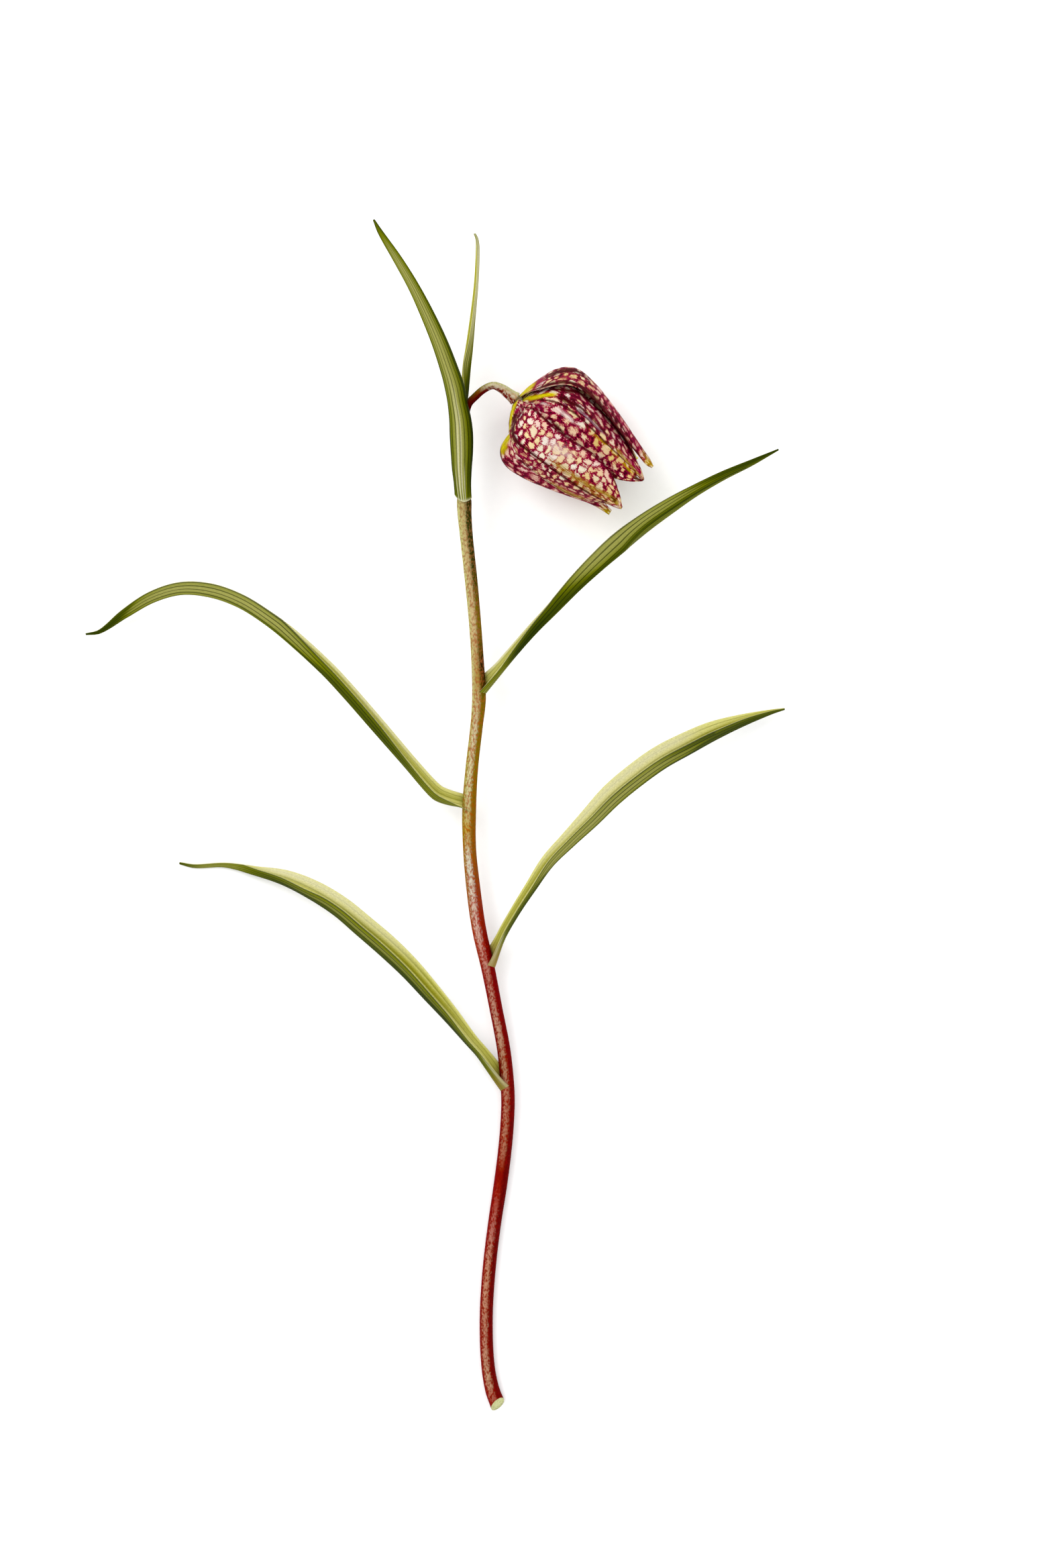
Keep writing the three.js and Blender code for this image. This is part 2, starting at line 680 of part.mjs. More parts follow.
function tepalGeometry(tepal) {
  const floor = tepal.inner ? TEPAL_THICKNESS + GAP : 0;
  const faces = [0, TEPAL_THICKNESS].map((under) => {
    const grid = [];
    for (let i = 0; i <= TEPAL_STEPS; i += 1) {
      const row = [];
      for (let j = 0; j <= TEPAL_ACROSS; j += 1) {
        const s = (2 * j) / TEPAL_ACROSS - 1;
        const point = tepalPoint(tepal, i / TEPAL_STEPS, s, under).add(bellBase);
        row.push(pressedFlat(point, floor + under));
      }
      grid.push(row);
    }
    return grid;
  });
  return bladeBody(faces[0], faces[1]);
}

// Pistil, filaments and anthers, in rows of distance along the bell's axis and radius

const OVARY_START = 2.55;
const PISTIL_ROWS = [
  [OVARY_START, 0.9], [3.4, 1.5], [5.6, 1.7], [7.6, 1.35], [9.2, 0.8], [12, 0.6], [20.5, 0.65],
];
const STIGMA_BRANCHES = 3;
const STAMENS = 6;

function pistilGeometry() {
  const body = rodGeometry(
    PISTIL_ROWS.map(([along, radius]) => [...onBell(along, 0, 0).toArray(), radius]),
    10,
    16,
    bellSky,
  );
  let solid = solidOf(body);
  for (let k = 0; k < STIGMA_BRANCHES; k += 1) {
    const degrees = 30 + (360 * k) / STIGMA_BRANCHES;
    const rows = [
      [19.6, 0.1, 0.5], [22, 0.8, 0.45], [24.4, 1.6, 0.4], [26.2, 2.1, 0.4],
    ].map(([along, radius, thick]) => [...onBell(along, radius, degrees).toArray(), thick]);
    solid = solid.add(solidOf(rodGeometry(rows, 6, 6, bellSky)));
  }
  return geometryOf(solid);
}

function filamentGeometry(degrees) {
  const rows = [
    [2.7, 2.45, 0.4], [4.5, 2.6, 0.4], [9, 3.3, 0.36], [14, 3.7, 0.32],
  ].map(([along, radius, thick]) => [...onBell(along, radius, degrees).toArray(), thick]);
  return rodGeometry(rows, 6, 8, bellSky);
}

function antherGeometry(degrees) {
  const rows = [
    [14.3, 3.75, 0.35], [15.2, 3.85, 0.8], [17.5, 4, 0.95], [20.5, 4.15, 0.95], [22.9, 4.2, 0.7],
    [23.8, 4.2, 0.3],
  ].map(([along, radius, thick]) => [...onBell(along, radius, degrees).toArray(), thick]);
  return rodGeometry(rows, 8, 9, bellSky);
}

// Joining solids

const wasm = await Module();
wasm.setup();

function solidOf(geometry) {
  const bare = geometry.clone();
  bare.deleteAttribute('normal');
  const merged = mergeVertices(bare);
  return new wasm.Manifold(
    new wasm.Mesh({
      numProp: 3,
      vertProperties: new Float32Array(merged.attributes.position.array),
      triVerts: new Uint32Array(merged.index.array),
    }),
  );
}

function geometryOf(solid) {
  const mesh = solid.getMesh();
  const geometry = new THREE.BufferGeometry();
  const numbers = [];
  for (let i = 0; i < mesh.vertProperties.length; i += mesh.numProp) {
    numbers.push(...mesh.vertProperties.slice(i, i + 3));
  }
  geometry.setAttribute('position', new THREE.Float32BufferAttribute(numbers, 3));
  geometry.setIndex(Array.from(mesh.triVerts));
  geometry.computeVertexNormals();
  return geometry;
}

// The plant

const plant = new THREE.Group();

function add(name, geometry, colour, roughness) {
  const material = new THREE.MeshStandardMaterial({ color: colour, roughness, metalness: 0 });
  material.side = THREE.FrontSide;
  const mesh = new THREE.Mesh(geometry, material);
  mesh.name = name;
  plant.add(mesh);
}

add('stem', stemGeometry(), COLOURS.stem, 0.6);
for (const [name, leaf] of Object.entries(leaves)) {
  add(name, leafGeometry(leaf), COLOURS.leaf, 0.6);
}
for (const [name, tepal] of Object.entries(tepals)) {
  add(name, tepalGeometry(tepal), tepal.inner ? COLOURS.tepal_inner : COLOURS.tepal_outer, 0.55);
}
add('pistil', pistilGeometry(), COLOURS.pistil, 0.5);
for (let k = 0; k < STAMENS; k += 1) {
  const degrees = 30 + (360 * k) / STAMENS;
  add(`filament_${k + 1}`, filamentGeometry(degrees), COLOURS.filament, 0.5);
  add(`anther_${k + 1}`, antherGeometry(degrees), COLOURS.anther, 0.8);
}

export default plant;
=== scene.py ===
# %% [markdown]
# # A cut stem of a snake's head fritillary
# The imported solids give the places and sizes. This lesson dresses them: every leaf, tepal and
# organ of the flower is worked out again with numpy as a finer surface, and gets a material
# made of nodes. Lengths are in millimetres until the last step, which turns them to metres.

# %% Load the frame
import math

import bpy
import mathutils
import numpy as np
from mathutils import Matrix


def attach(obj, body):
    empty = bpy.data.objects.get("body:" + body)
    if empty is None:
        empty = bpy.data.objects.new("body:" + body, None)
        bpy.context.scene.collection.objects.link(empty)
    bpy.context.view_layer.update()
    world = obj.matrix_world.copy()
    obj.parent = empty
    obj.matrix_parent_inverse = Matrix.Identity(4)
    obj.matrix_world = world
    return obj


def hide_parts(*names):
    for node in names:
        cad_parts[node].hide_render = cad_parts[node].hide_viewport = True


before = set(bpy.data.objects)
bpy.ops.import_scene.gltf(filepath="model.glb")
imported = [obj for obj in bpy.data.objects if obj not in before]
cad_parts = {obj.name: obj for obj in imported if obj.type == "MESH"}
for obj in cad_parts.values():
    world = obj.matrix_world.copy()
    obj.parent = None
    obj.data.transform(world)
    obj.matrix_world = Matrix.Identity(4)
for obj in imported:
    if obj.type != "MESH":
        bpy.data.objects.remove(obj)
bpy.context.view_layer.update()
MM = 0.001

# %% [markdown]
# The picture shows the plant face on. The stem lies on a table, so the camera hangs over it and
# looks straight down. A long lens keeps the near bell and the far stem at one scale. The picture
# has 5.65 pixels to the millimetre, and its middle lies a little right of the plant's.

# %% The camera
PICTURE_SIZE = (1568, 2337)
PIXELS_PER_MM = 5.65
LENS, SENSOR = 200.0, 36.0
PICTURE_MIDDLE = (24.1, 8.5)
PLANT_LEVEL = 10.0
FAR_END = 20.0  # metres; nothing beyond is drawn

seen_height = PICTURE_SIZE[1] / PIXELS_PER_MM
camera_height = seen_height * LENS / SENSOR
camera_data = bpy.data.cameras.new("camera")
camera_data.lens = LENS
camera_data.sensor_fit = "VERTICAL"
camera_data.sensor_height = SENSOR
camera_data.clip_end = FAR_END
camera = bpy.data.objects.new("camera", camera_data)
camera.location = np.array([*PICTURE_MIDDLE, camera_height + PLANT_LEVEL]) * MM
bpy.context.scene.collection.objects.link(camera)
bpy.context.scene.camera = camera
print("camera height in mm:", round(camera_height + PLANT_LEVEL))

# %% [markdown]
# Curves through rows of numbers carry every shape here. A row says where the stem's middle is, or
# how wide a leaf is there, and a cubic with the slope of its neighbours joins the rows smoothly.

# %% Smooth tables
PATH_STEP = 0.002  # share of a path over which its direction is measured
UP = np.array([0.0, 0.0, 1.0])


def smooth_table(knots, rows):
    """A cubic Hermite curve through the rows.

    The slope at a row is (row after - row before) / (knot after - knot before).
    """
    knots = np.asarray(knots, float)
    rows = np.asarray(rows, float)
    before = np.maximum(np.arange(len(knots)) - 1, 0)
    after = np.minimum(np.arange(len(knots)) + 1, len(knots) - 1)
    slopes = (rows[after] - rows[before]) / (knots[after] - knots[before])[:, None]

    def value(t):
        """The curve at t, as an array with one more axis for the columns of the rows."""
        t = np.clip(np.asarray(t, float), knots[0], knots[-1])
        i = np.clip(np.searchsorted(knots, t) - 1, 0, len(knots) - 2)
        width = knots[i + 1] - knots[i]
        x = ((t - knots[i]) / width)[..., None]
        width = width[..., None]
        ends = rows[i] * (2 * x**3 - 3 * x**2 + 1) + rows[i + 1] * (3 * x**2 - 2 * x**3)
        turns = slopes[i] * (x**3 - 2 * x**2 + x) + slopes[i + 1] * (x**3 - x**2)
        return ends + width * turns

    return value


def table(rows):
    """Rows that start with their own place from 0 to 1."""
    rows = np.asarray(rows, float)
    return smooth_table(rows[:, 0], rows[:, 1:])


def shares_of_way(rows):
    """How far along the chain of rows each row is, as a share of the whole."""
    steps = np.linalg.norm(np.diff(np.asarray(rows, float)[:, :3], axis=0), axis=1)
    gone = np.concatenate([[0.0], np.cumsum(steps)])
    return gone / gone[-1]


def path_table(rows):
    """A smooth curve through rows that start with x, y and z, read by the share of its way."""
    return smooth_table(shares_of_way(rows), rows)


def unit(vectors):
    """Vectors of length 1: v / |v|."""
    return vectors / np.maximum(np.linalg.norm(vectors, axis=-1, keepdims=True), 1e-12)


def smoothstep(x):
    """From 0 to 1 without a kink: 3 x^2 - 2 x^3."""
    x = np.clip(x, 0.0, 1.0)
    return x * x * (3 - 2 * x)


def frames_along(path, t, reference=UP):
    """At each t: the middle, the way along, the way nearest to the reference, the way across.

    along = unit(path(t + step) - path(t - step)), up = unit(reference - its share of along).
    """
    t = np.asarray(t, float)
    ahead, behind = np.minimum(t + PATH_STEP, 1), np.maximum(t - PATH_STEP, 0)
    along = unit(path(ahead)[..., :3] - path(behind)[..., :3])
    up = unit(reference - along * (along @ reference)[..., None])
    return path(t)[..., :3], along, up, np.cross(along, up)


# %% [markdown]
# The bell hangs on a thin stalk and is pressed a little flat where it lies on the table. Its own
# frame runs from the receptacle to the mouth. A side view turned round that axis is its skin, and
# each tepal is a strip of that skin: three outer ones, and three inner ones that start under their
# neighbours' edges and rise between them.

# %% The bell's skin
GAP = 0.3
TEPAL_THICKNESS = 0.6
WHORL_STEP = 1.3
INNER_CREST_REACH = 0.52  # of the half width; the rest lies under the outer tepals
LOBES = 6
LOBE_HEIGHT = 0.35
FIRST_LOBE = 30  # degrees round the axis
SKIN_STEP = 0.004  # share of the side view over which its slope is measured
BELL_HEADING = math.radians(-37)
BELL_TILT = math.radians(7)
BELL_PRESSED = 0.45  # how much of the underside the table flattens
BELL_PLACE = (21.6, 109.6)

bell_axis = np.array([
    math.cos(BELL_HEADING) * math.cos(BELL_TILT),
    math.sin(BELL_HEADING) * math.cos(BELL_TILT),
    -math.sin(BELL_TILT),
])
bell_sky = unit(UP - bell_axis * bell_axis[2])
bell_level = -np.cross(bell_axis, bell_sky)

BELL_ROWS = [
    (0.0, 1.85), (0.4, 4.4), (1.2, 7.0), (2.2, 9.8), (3.8, 12.6), (6.3, 14.9), (9.0, 15.7),
    (12.5, 15.5), (16.0, 14.9), (20.0, 13.9), (25.0, 12.5), (30.0, 10.9), (34.0, 9.7),
    (37.0, 9.0), (39.5, 8.7),
]
bell_profile = path_table([(along, radius, 0.0) for along, radius in BELL_ROWS])
BELL_LENGTH = float(np.linalg.norm(np.diff(np.array(BELL_ROWS), axis=0), axis=1).sum())
tepal_half_width = table([
    (0.0, 0.95), (0.1, 3.7), (0.2, 6.6), (0.3, 7.7), (0.45, 7.7), (0.6, 8.1), (0.7, 8.2),
    (0.8, 7.2), (0.88, 5.2), (0.95, 2.7), (1.0, 0.4),
])
lobe_depth = table([(0, 0), (0.12, 0), (0.3, 1), (0.7, 0.8), (1, 0.5)])
bell_winding = table([(0, 0), (0.5, -3), (1, -12)])
crest_rise = table([(0, 0), (0.12, 0), (0.3, 1), (1, 1)])
whorl_depth = table([(0, 1), (0.85, 1), (1, 0.3)])
base_dip = table([(0, 0), (0.06, 0.3), (0.14, 1), (0.2, 0.5), (0.27, 0), (1, 0)])

TEPALS = {}
TEPALS["tepal_outer_front"] = dict(
    inner=False, turn=(-26, -30, -44), reach=0.985, crest=0.3, dip=0.6,
    left=[
        (0, 1), (0.1, 1), (0.16, 0.85), (0.24, 0.62), (0.35, 0.74), (0.46, 0.92), (0.56, 1),
        (0.84, 1), (0.9, 0.6), (0.95, 0.6), (1, 1),
    ],
    right=[(0, 1), (1, 1)],
)
TEPALS["tepal_outer_side"] = dict(
    inner=False, turn=(62, 85, 60), reach=0.99, crest=0.3, dip=0,
    left=[
        (0, 1), (0.1, 1.05), (0.22, 1.22), (0.35, 1.2), (0.48, 1.02), (0.64, 0.76), (0.81, 0.5),
        (0.92, 0.5), (1, 1),
    ],
    right=[(0, 1), (1, 1)],
)
TEPALS["tepal_outer_under"] = dict(
    inner=False, turn=(180, 200, 214), reach=0.95, crest=0.3, dip=0, left=[(0, 1.15), (1, 1.15)],
    right=[(0, 1), (0.1, 0.6), (0.25, 0.6), (0.4, 1), (0.6, 1.15), (1, 1.15)],
)
TEPALS["tepal_inner_front"] = dict(
    inner=True, turn=(19, 27, 21), reach=0.985, crest=0.6, dip=0, left=[(0, 1), (1, 1)],
    right=[(0, 1), (0.5, 1), (0.7, 1.12), (1, 1.12)],
)
TEPALS["tepal_inner_back"] = dict(
    inner=True, turn=(130, 141, 132), reach=0.92, crest=1, dip=0, left=[(0, 1.2), (1, 1.2)],
    right=[(0, 1.2), (1, 1.2)],
)
TEPALS["tepal_inner_side"] = dict(
    inner=True, turn=(262, 268, 271), reach=0.965, crest=0.95, dip=1.2,
    left=[(0, 1.25), (0.2, 1.35), (0.4, 1.35), (0.6, 1.25), (1, 1.25)],
    right=[(0, 1.25), (0.2, 1.25), (0.3, 1.5), (0.45, 1.4), (0.6, 1.25), (1, 1.25)],
)


def bell_point(u, degrees, depth):
    """The side view at u, turned round the axis by an angle and moved in along its own normal.

    Six low lobes wave it: out = height * cos(6 * (angle - first lobe - winding)) - depth.
    """
    here = bell_profile(u)
    ahead = bell_profile(np.minimum(u + SKIN_STEP, 1))
    behind = bell_profile(np.maximum(u - SKIN_STEP, 0))
    slope = unit((ahead - behind)[..., :2])
    wave = np.cos(np.radians(LOBES * (degrees - FIRST_LOBE - bell_winding(u)[..., 0])))
    out = LOBE_HEIGHT * lobe_depth(u)[..., 0] * wave - depth
    along = here[..., 0] - out * slope[..., 1]
    radius = here[..., 1] + out * slope[..., 0]
    angle = np.radians(degrees)[..., None]
    away = bell_sky * np.cos(angle) + bell_level * np.sin(angle)
    return away * radius[..., None] + bell_axis * along[..., None]


def tepal_width(tepal, share, s):
    """Half the width in mm on the side that s is on: the usual half width * that side's factor."""
    left, right = (table(tepal[side])(share)[..., 0] for side in ("left", "right"))
    return np.where(s < 0, left, right) * tepal_half_width(share)[..., 0]


def tepal_point(tepal, share, s, under):
    """A strip of the skin: angle = midrib + s * half width / radius, depth by its whorl and folds.

    The middle stands out as a crest: (1 - (s / reach)^2)^2 times the height of the crest.
    """
    share, s = np.broadcast_arrays(np.asarray(share, float), np.asarray(s, float))
    u = share * tepal["reach"]
    turn = tepal["turn"]
    midrib = table([(0, turn[0]), (0.5, turn[1]), (1, turn[2])])(share)[..., 0]
    half = np.degrees(tepal_width(tepal, share, s) / bell_profile(u)[..., 1])
    reach = INNER_CREST_REACH if tepal["inner"] else 1.0
    hump = (1 - np.minimum(1, np.abs(s) / reach) ** 2) ** 2
    step = WHORL_STEP * whorl_depth(share)[..., 0] if tepal["inner"] else 0.0
    crest = tepal["crest"] * hump * crest_rise(share)[..., 0]
    depth = step - crest + tepal["dip"] * base_dip(share)[..., 0] + under
    return bell_point(u, midrib + half * s, depth)


coarse_share, coarse_s = np.linspace(0, 1, 101)[:, None], np.linspace(-1, 1, 41)
lowest = tepal_point(TEPALS["tepal_outer_under"], coarse_share, coarse_s, 0.0)[..., 2].min()
bell_base = np.array([*BELL_PLACE, -lowest - BELL_PRESSED])
print("bell hangs at", np.round(bell_base, 2), "- its skin is", round(BELL_LENGTH, 1), "mm long")

# %% [markdown]
# The stem is one round body from the slanted cut to the receptacle. Its rows give the middle and
# the radius: it swells at each leaf, stops in a shoulder above the last node, and goes on as the
# thin stalk that bends over to the bell.

# %% The stem's path
STEM_RADIUS = 1.74
STALK_RADIUS = 1.0
BEND_Y = 107.0
RISING_SHARE = 0.93  # of the stem's way; after it the stalk bends down to the bell
STEM_SAMPLES = 4000


def before_bell(along, radius):
    """A row on the bell's axis, that many mm before the bell."""
    return (*(bell_base - bell_axis * along), radius)


STEM_ROWS = [
    (16.6, -155.65, 1.9, 2.05), (15.2, -151.9, 1.75, 1.92), (14.1, -146.0, 1.63, 1.78),
    (13.6, -138.0, 1.6, STEM_RADIUS), (13.7, -128.9, 1.6, STEM_RADIUS),
    (14.5, -118.3, 1.6, STEM_RADIUS), (15.8, -107.7, 1.65, STEM_RADIUS),
    (17.4, -97.1, 1.9, 1.8), (18.7, -86.5, 2.3, 1.8), (19.3, -77.6, 2.8, 1.8),
    (19.2, -71.6, 3.2, 1.82), (18.2, -61.7, 3.9, 1.77),
    (16.2, -51.1, 4.6, 1.72), (14.1, -40.4, 5.3, 1.8), (11.7, -29.8, 5.9, 1.88),
    (10.2, -19.2, 6.5, 1.87), (9.2, -8.6, 7.0, STEM_RADIUS), (9.1, 2.0, 7.5, 1.84),
    (9.8, 12.7, 8.0, 1.68), (11.0, 23.3, 8.5, 1.66), (11.7, 31.2, 8.9, 1.83),
    (11.3, 41.4, 9.4, 1.66), (10.6, 51.6, 9.9, 1.62), (9.6, 62.5, 10.4, 1.68),
    (8.4, 73.7, 10.9, 1.71), (7.9, 79.6, 11.2, 1.86), (7.8, 83.2, 11.35, 1.95),
    (7.75, 83.9, 11.4, 1.8), (7.5, 90.0, 11.7, 1.2), (7.4, 97.0, 12.3, STALK_RADIUS),
    (7.8, 103.5, 13.0, STALK_RADIUS), (8.9, 108.4, 14.1, STALK_RADIUS),
    (10.8, 110.5, 15.2, STALK_RADIUS), (13.1, 112.4, 16.2, STALK_RADIUS),
    (15.5, 113.3, 17.1, STALK_RADIUS), before_bell(4.6, 1.25), before_bell(2.6, 1.45),
]
RECEPTACLE_ROWS = [(-1.4, 1.6), (-0.55, 1.85), (-GAP, 1.8), (-0.28, 1.4), (0.8, 1.25), (2.25, 1.1)]
stem_path = path_table(STEM_ROWS)
stem_samples = np.linspace(0, RISING_SHARE, STEM_SAMPLES)
stem_heights = np.maximum.accumulate(stem_path(stem_samples)[:, 1])


def stem_share_at(y):
    """The share of the stem's way at which it reaches y, while it still rises."""
    return np.interp(y, stem_heights, stem_samples)


print("stem rows:", len(STEM_ROWS))

# %% [markdown]
# A mesh is made once from its points and faces. A blade has two faces, an outer and an inner grid,
# and narrow strips close it along its edges. A round body is rings with a fan over each end. The
# signed volume tells whether the faces look out, and they are turned round if they don't.

# %% From grids to closed meshes


def signed_volume(points, faces):
    """Six times the volume that the fans of all faces span with the origin."""
    first = points[faces[:, 0]]
    total = 0.0
    for k in range(1, faces.shape[1] - 1):
        total += np.einsum("ij,ij->", first, np.cross(points[faces[:, k]], points[faces[:, k + 1]]))
    return total


def blade_faces(rows, columns):
    """Quads of two grids that lie back to back, and of the strips round their edge."""
    cell = np.arange((rows - 1) * columns).reshape(rows - 1, columns)[:, :-1].ravel()
    front = np.stack([cell, cell + columns, cell + columns + 1, cell + 1], axis=1)
    back = front[:, ::-1] + rows * columns
    rim = np.concatenate([
        np.arange(columns),
        np.arange(1, rows) * columns + columns - 1,
        (rows - 1) * columns + np.arange(columns - 2, -1, -1),
        np.arange(rows - 2, 0, -1) * columns,
    ])
    following = np.roll(rim, -1)
    strip = np.stack([rim, following, following + rows * columns, rim + rows * columns], axis=1)
    return np.concatenate([front, back, strip])


def ring_faces(rings, sides):
    """Quads between rings that follow one another."""
    i, j = np.meshgrid(np.arange(rings - 1), np.arange(sides), indexing="ij")
    a = (i * sides + j).ravel()
    b = (i * sides + (j + 1) % sides).ravel()
    return np.stack([a, b, b + sides, a + sides], axis=1)


def fan_faces(start, sides, middle):
    """Triangles from a ring to the point in its middle."""
    j = np.arange(sides)
    return np.stack([start + j, start + (j + 1) % sides, np.full(sides, middle)], axis=1)


def closed_round(rings):
    """Points and faces of a body through rings, each end closed by a fan round its middle."""
    count, sides = rings.shape[:2]
    middles = rings[[0, -1]].mean(axis=1)
    points = np.concatenate([rings.reshape(-1, 3), middles])
    start = fan_faces(0, sides, count * sides)[:, ::-1]
    end = fan_faces((count - 1) * sides, sides, count * sides + 1)
    return points, [ring_faces(count, sides), start, end]


def round_rings(path, t, radii, sides, reference=UP):
    """Rings round a path: middle + radius * (across * cos angle + up * sin angle)."""
    centre, along, up, across = frames_along(path, t, reference)
    angle = np.arange(sides) * 2 * math.pi / sides
    turned = across[:, None] * np.cos(angle)[:, None] + up[:, None] * np.sin(angle)[:, None]
    radii = np.asarray(radii, float).reshape(len(centre), -1)
    return centre[:, None] + turned * radii[..., None]


def make_piece(title, points, faces, surface, marks, material, slot, node):
    """One closed mesh from points in mm, with a map of its surface and its material's marks."""
    if sum(signed_volume(points, part) for part in faces) < 0:
        faces = [part[:, ::-1] for part in faces]
    mesh = bpy.data.meshes.new(title)
    mesh.from_pydata((points * MM).tolist(), [], [face for part in faces for face in part.tolist()])
    mesh.polygons.foreach_set("use_smooth", np.ones(len(mesh.polygons), bool))
    corners = np.empty(len(mesh.loops), np.int32)
    mesh.loops.foreach_get("vertex_index", corners)
    layer = mesh.uv_layers.new(name="surface")
    layer.uv.foreach_set("vector", np.asarray(surface, np.float32)[corners].ravel())
    for name, values in marks.items():
        mark = mesh.attributes.new(name, "FLOAT", "POINT")
        mark.data.foreach_set("value", np.asarray(values, np.float32).ravel())
    mesh.materials.append(material)
    mesh.update()
    piece = bpy.data.objects.new(title, mesh)
    bpy.context.scene.collection.objects.link(piece)
    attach(piece, "root")
    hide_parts(node)
    print(title, "-", len(points), "points")


def make_blade(title, outer, inner, surface, marks, material, slot, node):
    """A piece from two grids that lie back to back; both share one map and the same marks."""
    count = outer[..., 0].size
    make_piece(
        title, np.concatenate([outer.reshape(-1, 3), inner.reshape(-1, 3)]),
        [blade_faces(*outer.shape[:2])],
        np.tile(np.stack([values.ravel() for values in surface], axis=1), (2, 1)),
        {name: np.resize(values, 2 * count) for name, values in marks.items()},
        material, slot, node,
    )


# %% [markdown]
# Colours are given as screen colours. The renderer mixes light, so one function turns
# each into the amount of light it stands for. A second one adds a node to a material, sets it and
# joins its sockets, so that a material reads as a list of what it is mixed from. Inputs stand in
# the order of the sockets: a Mix has its share and two colours, a MapRange has a value, the range
# it comes from and the range it goes to. All skins of the plant end in the same way, with a fine
# relief under a soft shine.

# %% Colours and nodes
BRIGHT_STUDIO = 1.5
WAXY_SHINE = 0.015
USUAL_SHINE = 0.5
LEAST_STROKE = 0.01


def light(code):
    """A screen colour such as #8a5a3c as linear red, green, blue and a full alpha.

    The studio light lifts everything by BRIGHT_STUDIO, so that the paper burns out to white.
    The colours are mixed that much darker.
    """
    parts = [int(code[k:k + 2], 16) / 255 for k in (1, 3, 5)]
    linear = [p / 12.92 if p <= 0.04045 else ((p + 0.055) / 1.055) ** 2.4 for p in parts]
    return (*[p / BRIGHT_STUDIO for p in linear], 1.0)


def new_material(name):
    """An empty material, and a function that adds a node with its settings and inputs."""
    material = bpy.data.materials.new(name)
    material.use_nodes = True
    tree = material.node_tree
    tree.nodes.clear()

    def add(kind, inputs=(), out=None, stops=(), **settings):
        """A new node's first output, or the one that out names.

        A kind in capitals is the operation of a Math node. Inputs go to the sockets in their
        order, or by name where they come as a dict, and a screen colour is turned to light. A Mix
        blends colours unless a setting says otherwise. Stops are the places and colours of a ramp.
        """
        if kind.isupper():
            kind, settings = "Math", {"operation": kind, **settings}
        elif kind == "Mix":
            settings = {"data_type": "RGBA", **settings}
        node = tree.nodes.new("ShaderNode" + kind)
        for setting, value in settings.items():
            setattr(node, setting, value)
        sockets = [socket for socket in node.inputs if socket.enabled]
        if isinstance(inputs, dict):
            called = {socket.name: socket for socket in sockets}
            sockets = [called[name] for name in inputs]
            inputs = inputs.values()
        for socket, value in zip(sockets, inputs):
            if isinstance(value, bpy.types.NodeSocket):
                tree.links.new(value, socket)
            else:
                socket.default_value = light(value) if isinstance(value, str) else value
        for place, code in stops[2:]:
            node.color_ramp.elements.new(place)
        for k, (place, code) in enumerate(stops):
            node.color_ramp.elements[k].position = place
            node.color_ramp.elements[k].color = light(code)
        outputs = [socket for socket in node.outputs if socket.enabled]
        return node.outputs[out] if out else outputs[0] if outputs else None

    return material, add


def finish_skin(add, colour, relief, strength, depth, roughness, shine=WAXY_SHINE):
    """The end of every skin: a relief of that depth in mm under a colour with a soft shine."""
    bump = add("Bump", {"Height": relief, "Strength": strength, "Distance": depth * MM})
    gloss = add("BsdfPrincipled", {
        "Base Color": colour, "Roughness": roughness, "Specular IOR Level": shine, "Normal": bump,
    })
    add("OutputMaterial", (gloss,))


def stroke_field(t, s, strokes):
    """How strongly soft strokes cover a surface: each row is t, middle, half width, strength.

    A stroke covers strength * exp(-((s - middle) / half width)^2); the strongest one counts.
    """
    field = np.zeros(np.broadcast(t, s).shape)
    for rows in strokes:
        middle, wide, strength = np.moveaxis(table(rows)(t), -1, 0)
        inside = (t >= rows[0][0]) & (t <= rows[-1][0])
        aside = (s - middle) / np.maximum(wide, LEAST_STROKE)
        cover = np.clip(strength, 0, 1) * np.exp(-aside ** 2)
        field = np.maximum(field, np.where(inside, cover, 0))
    return field
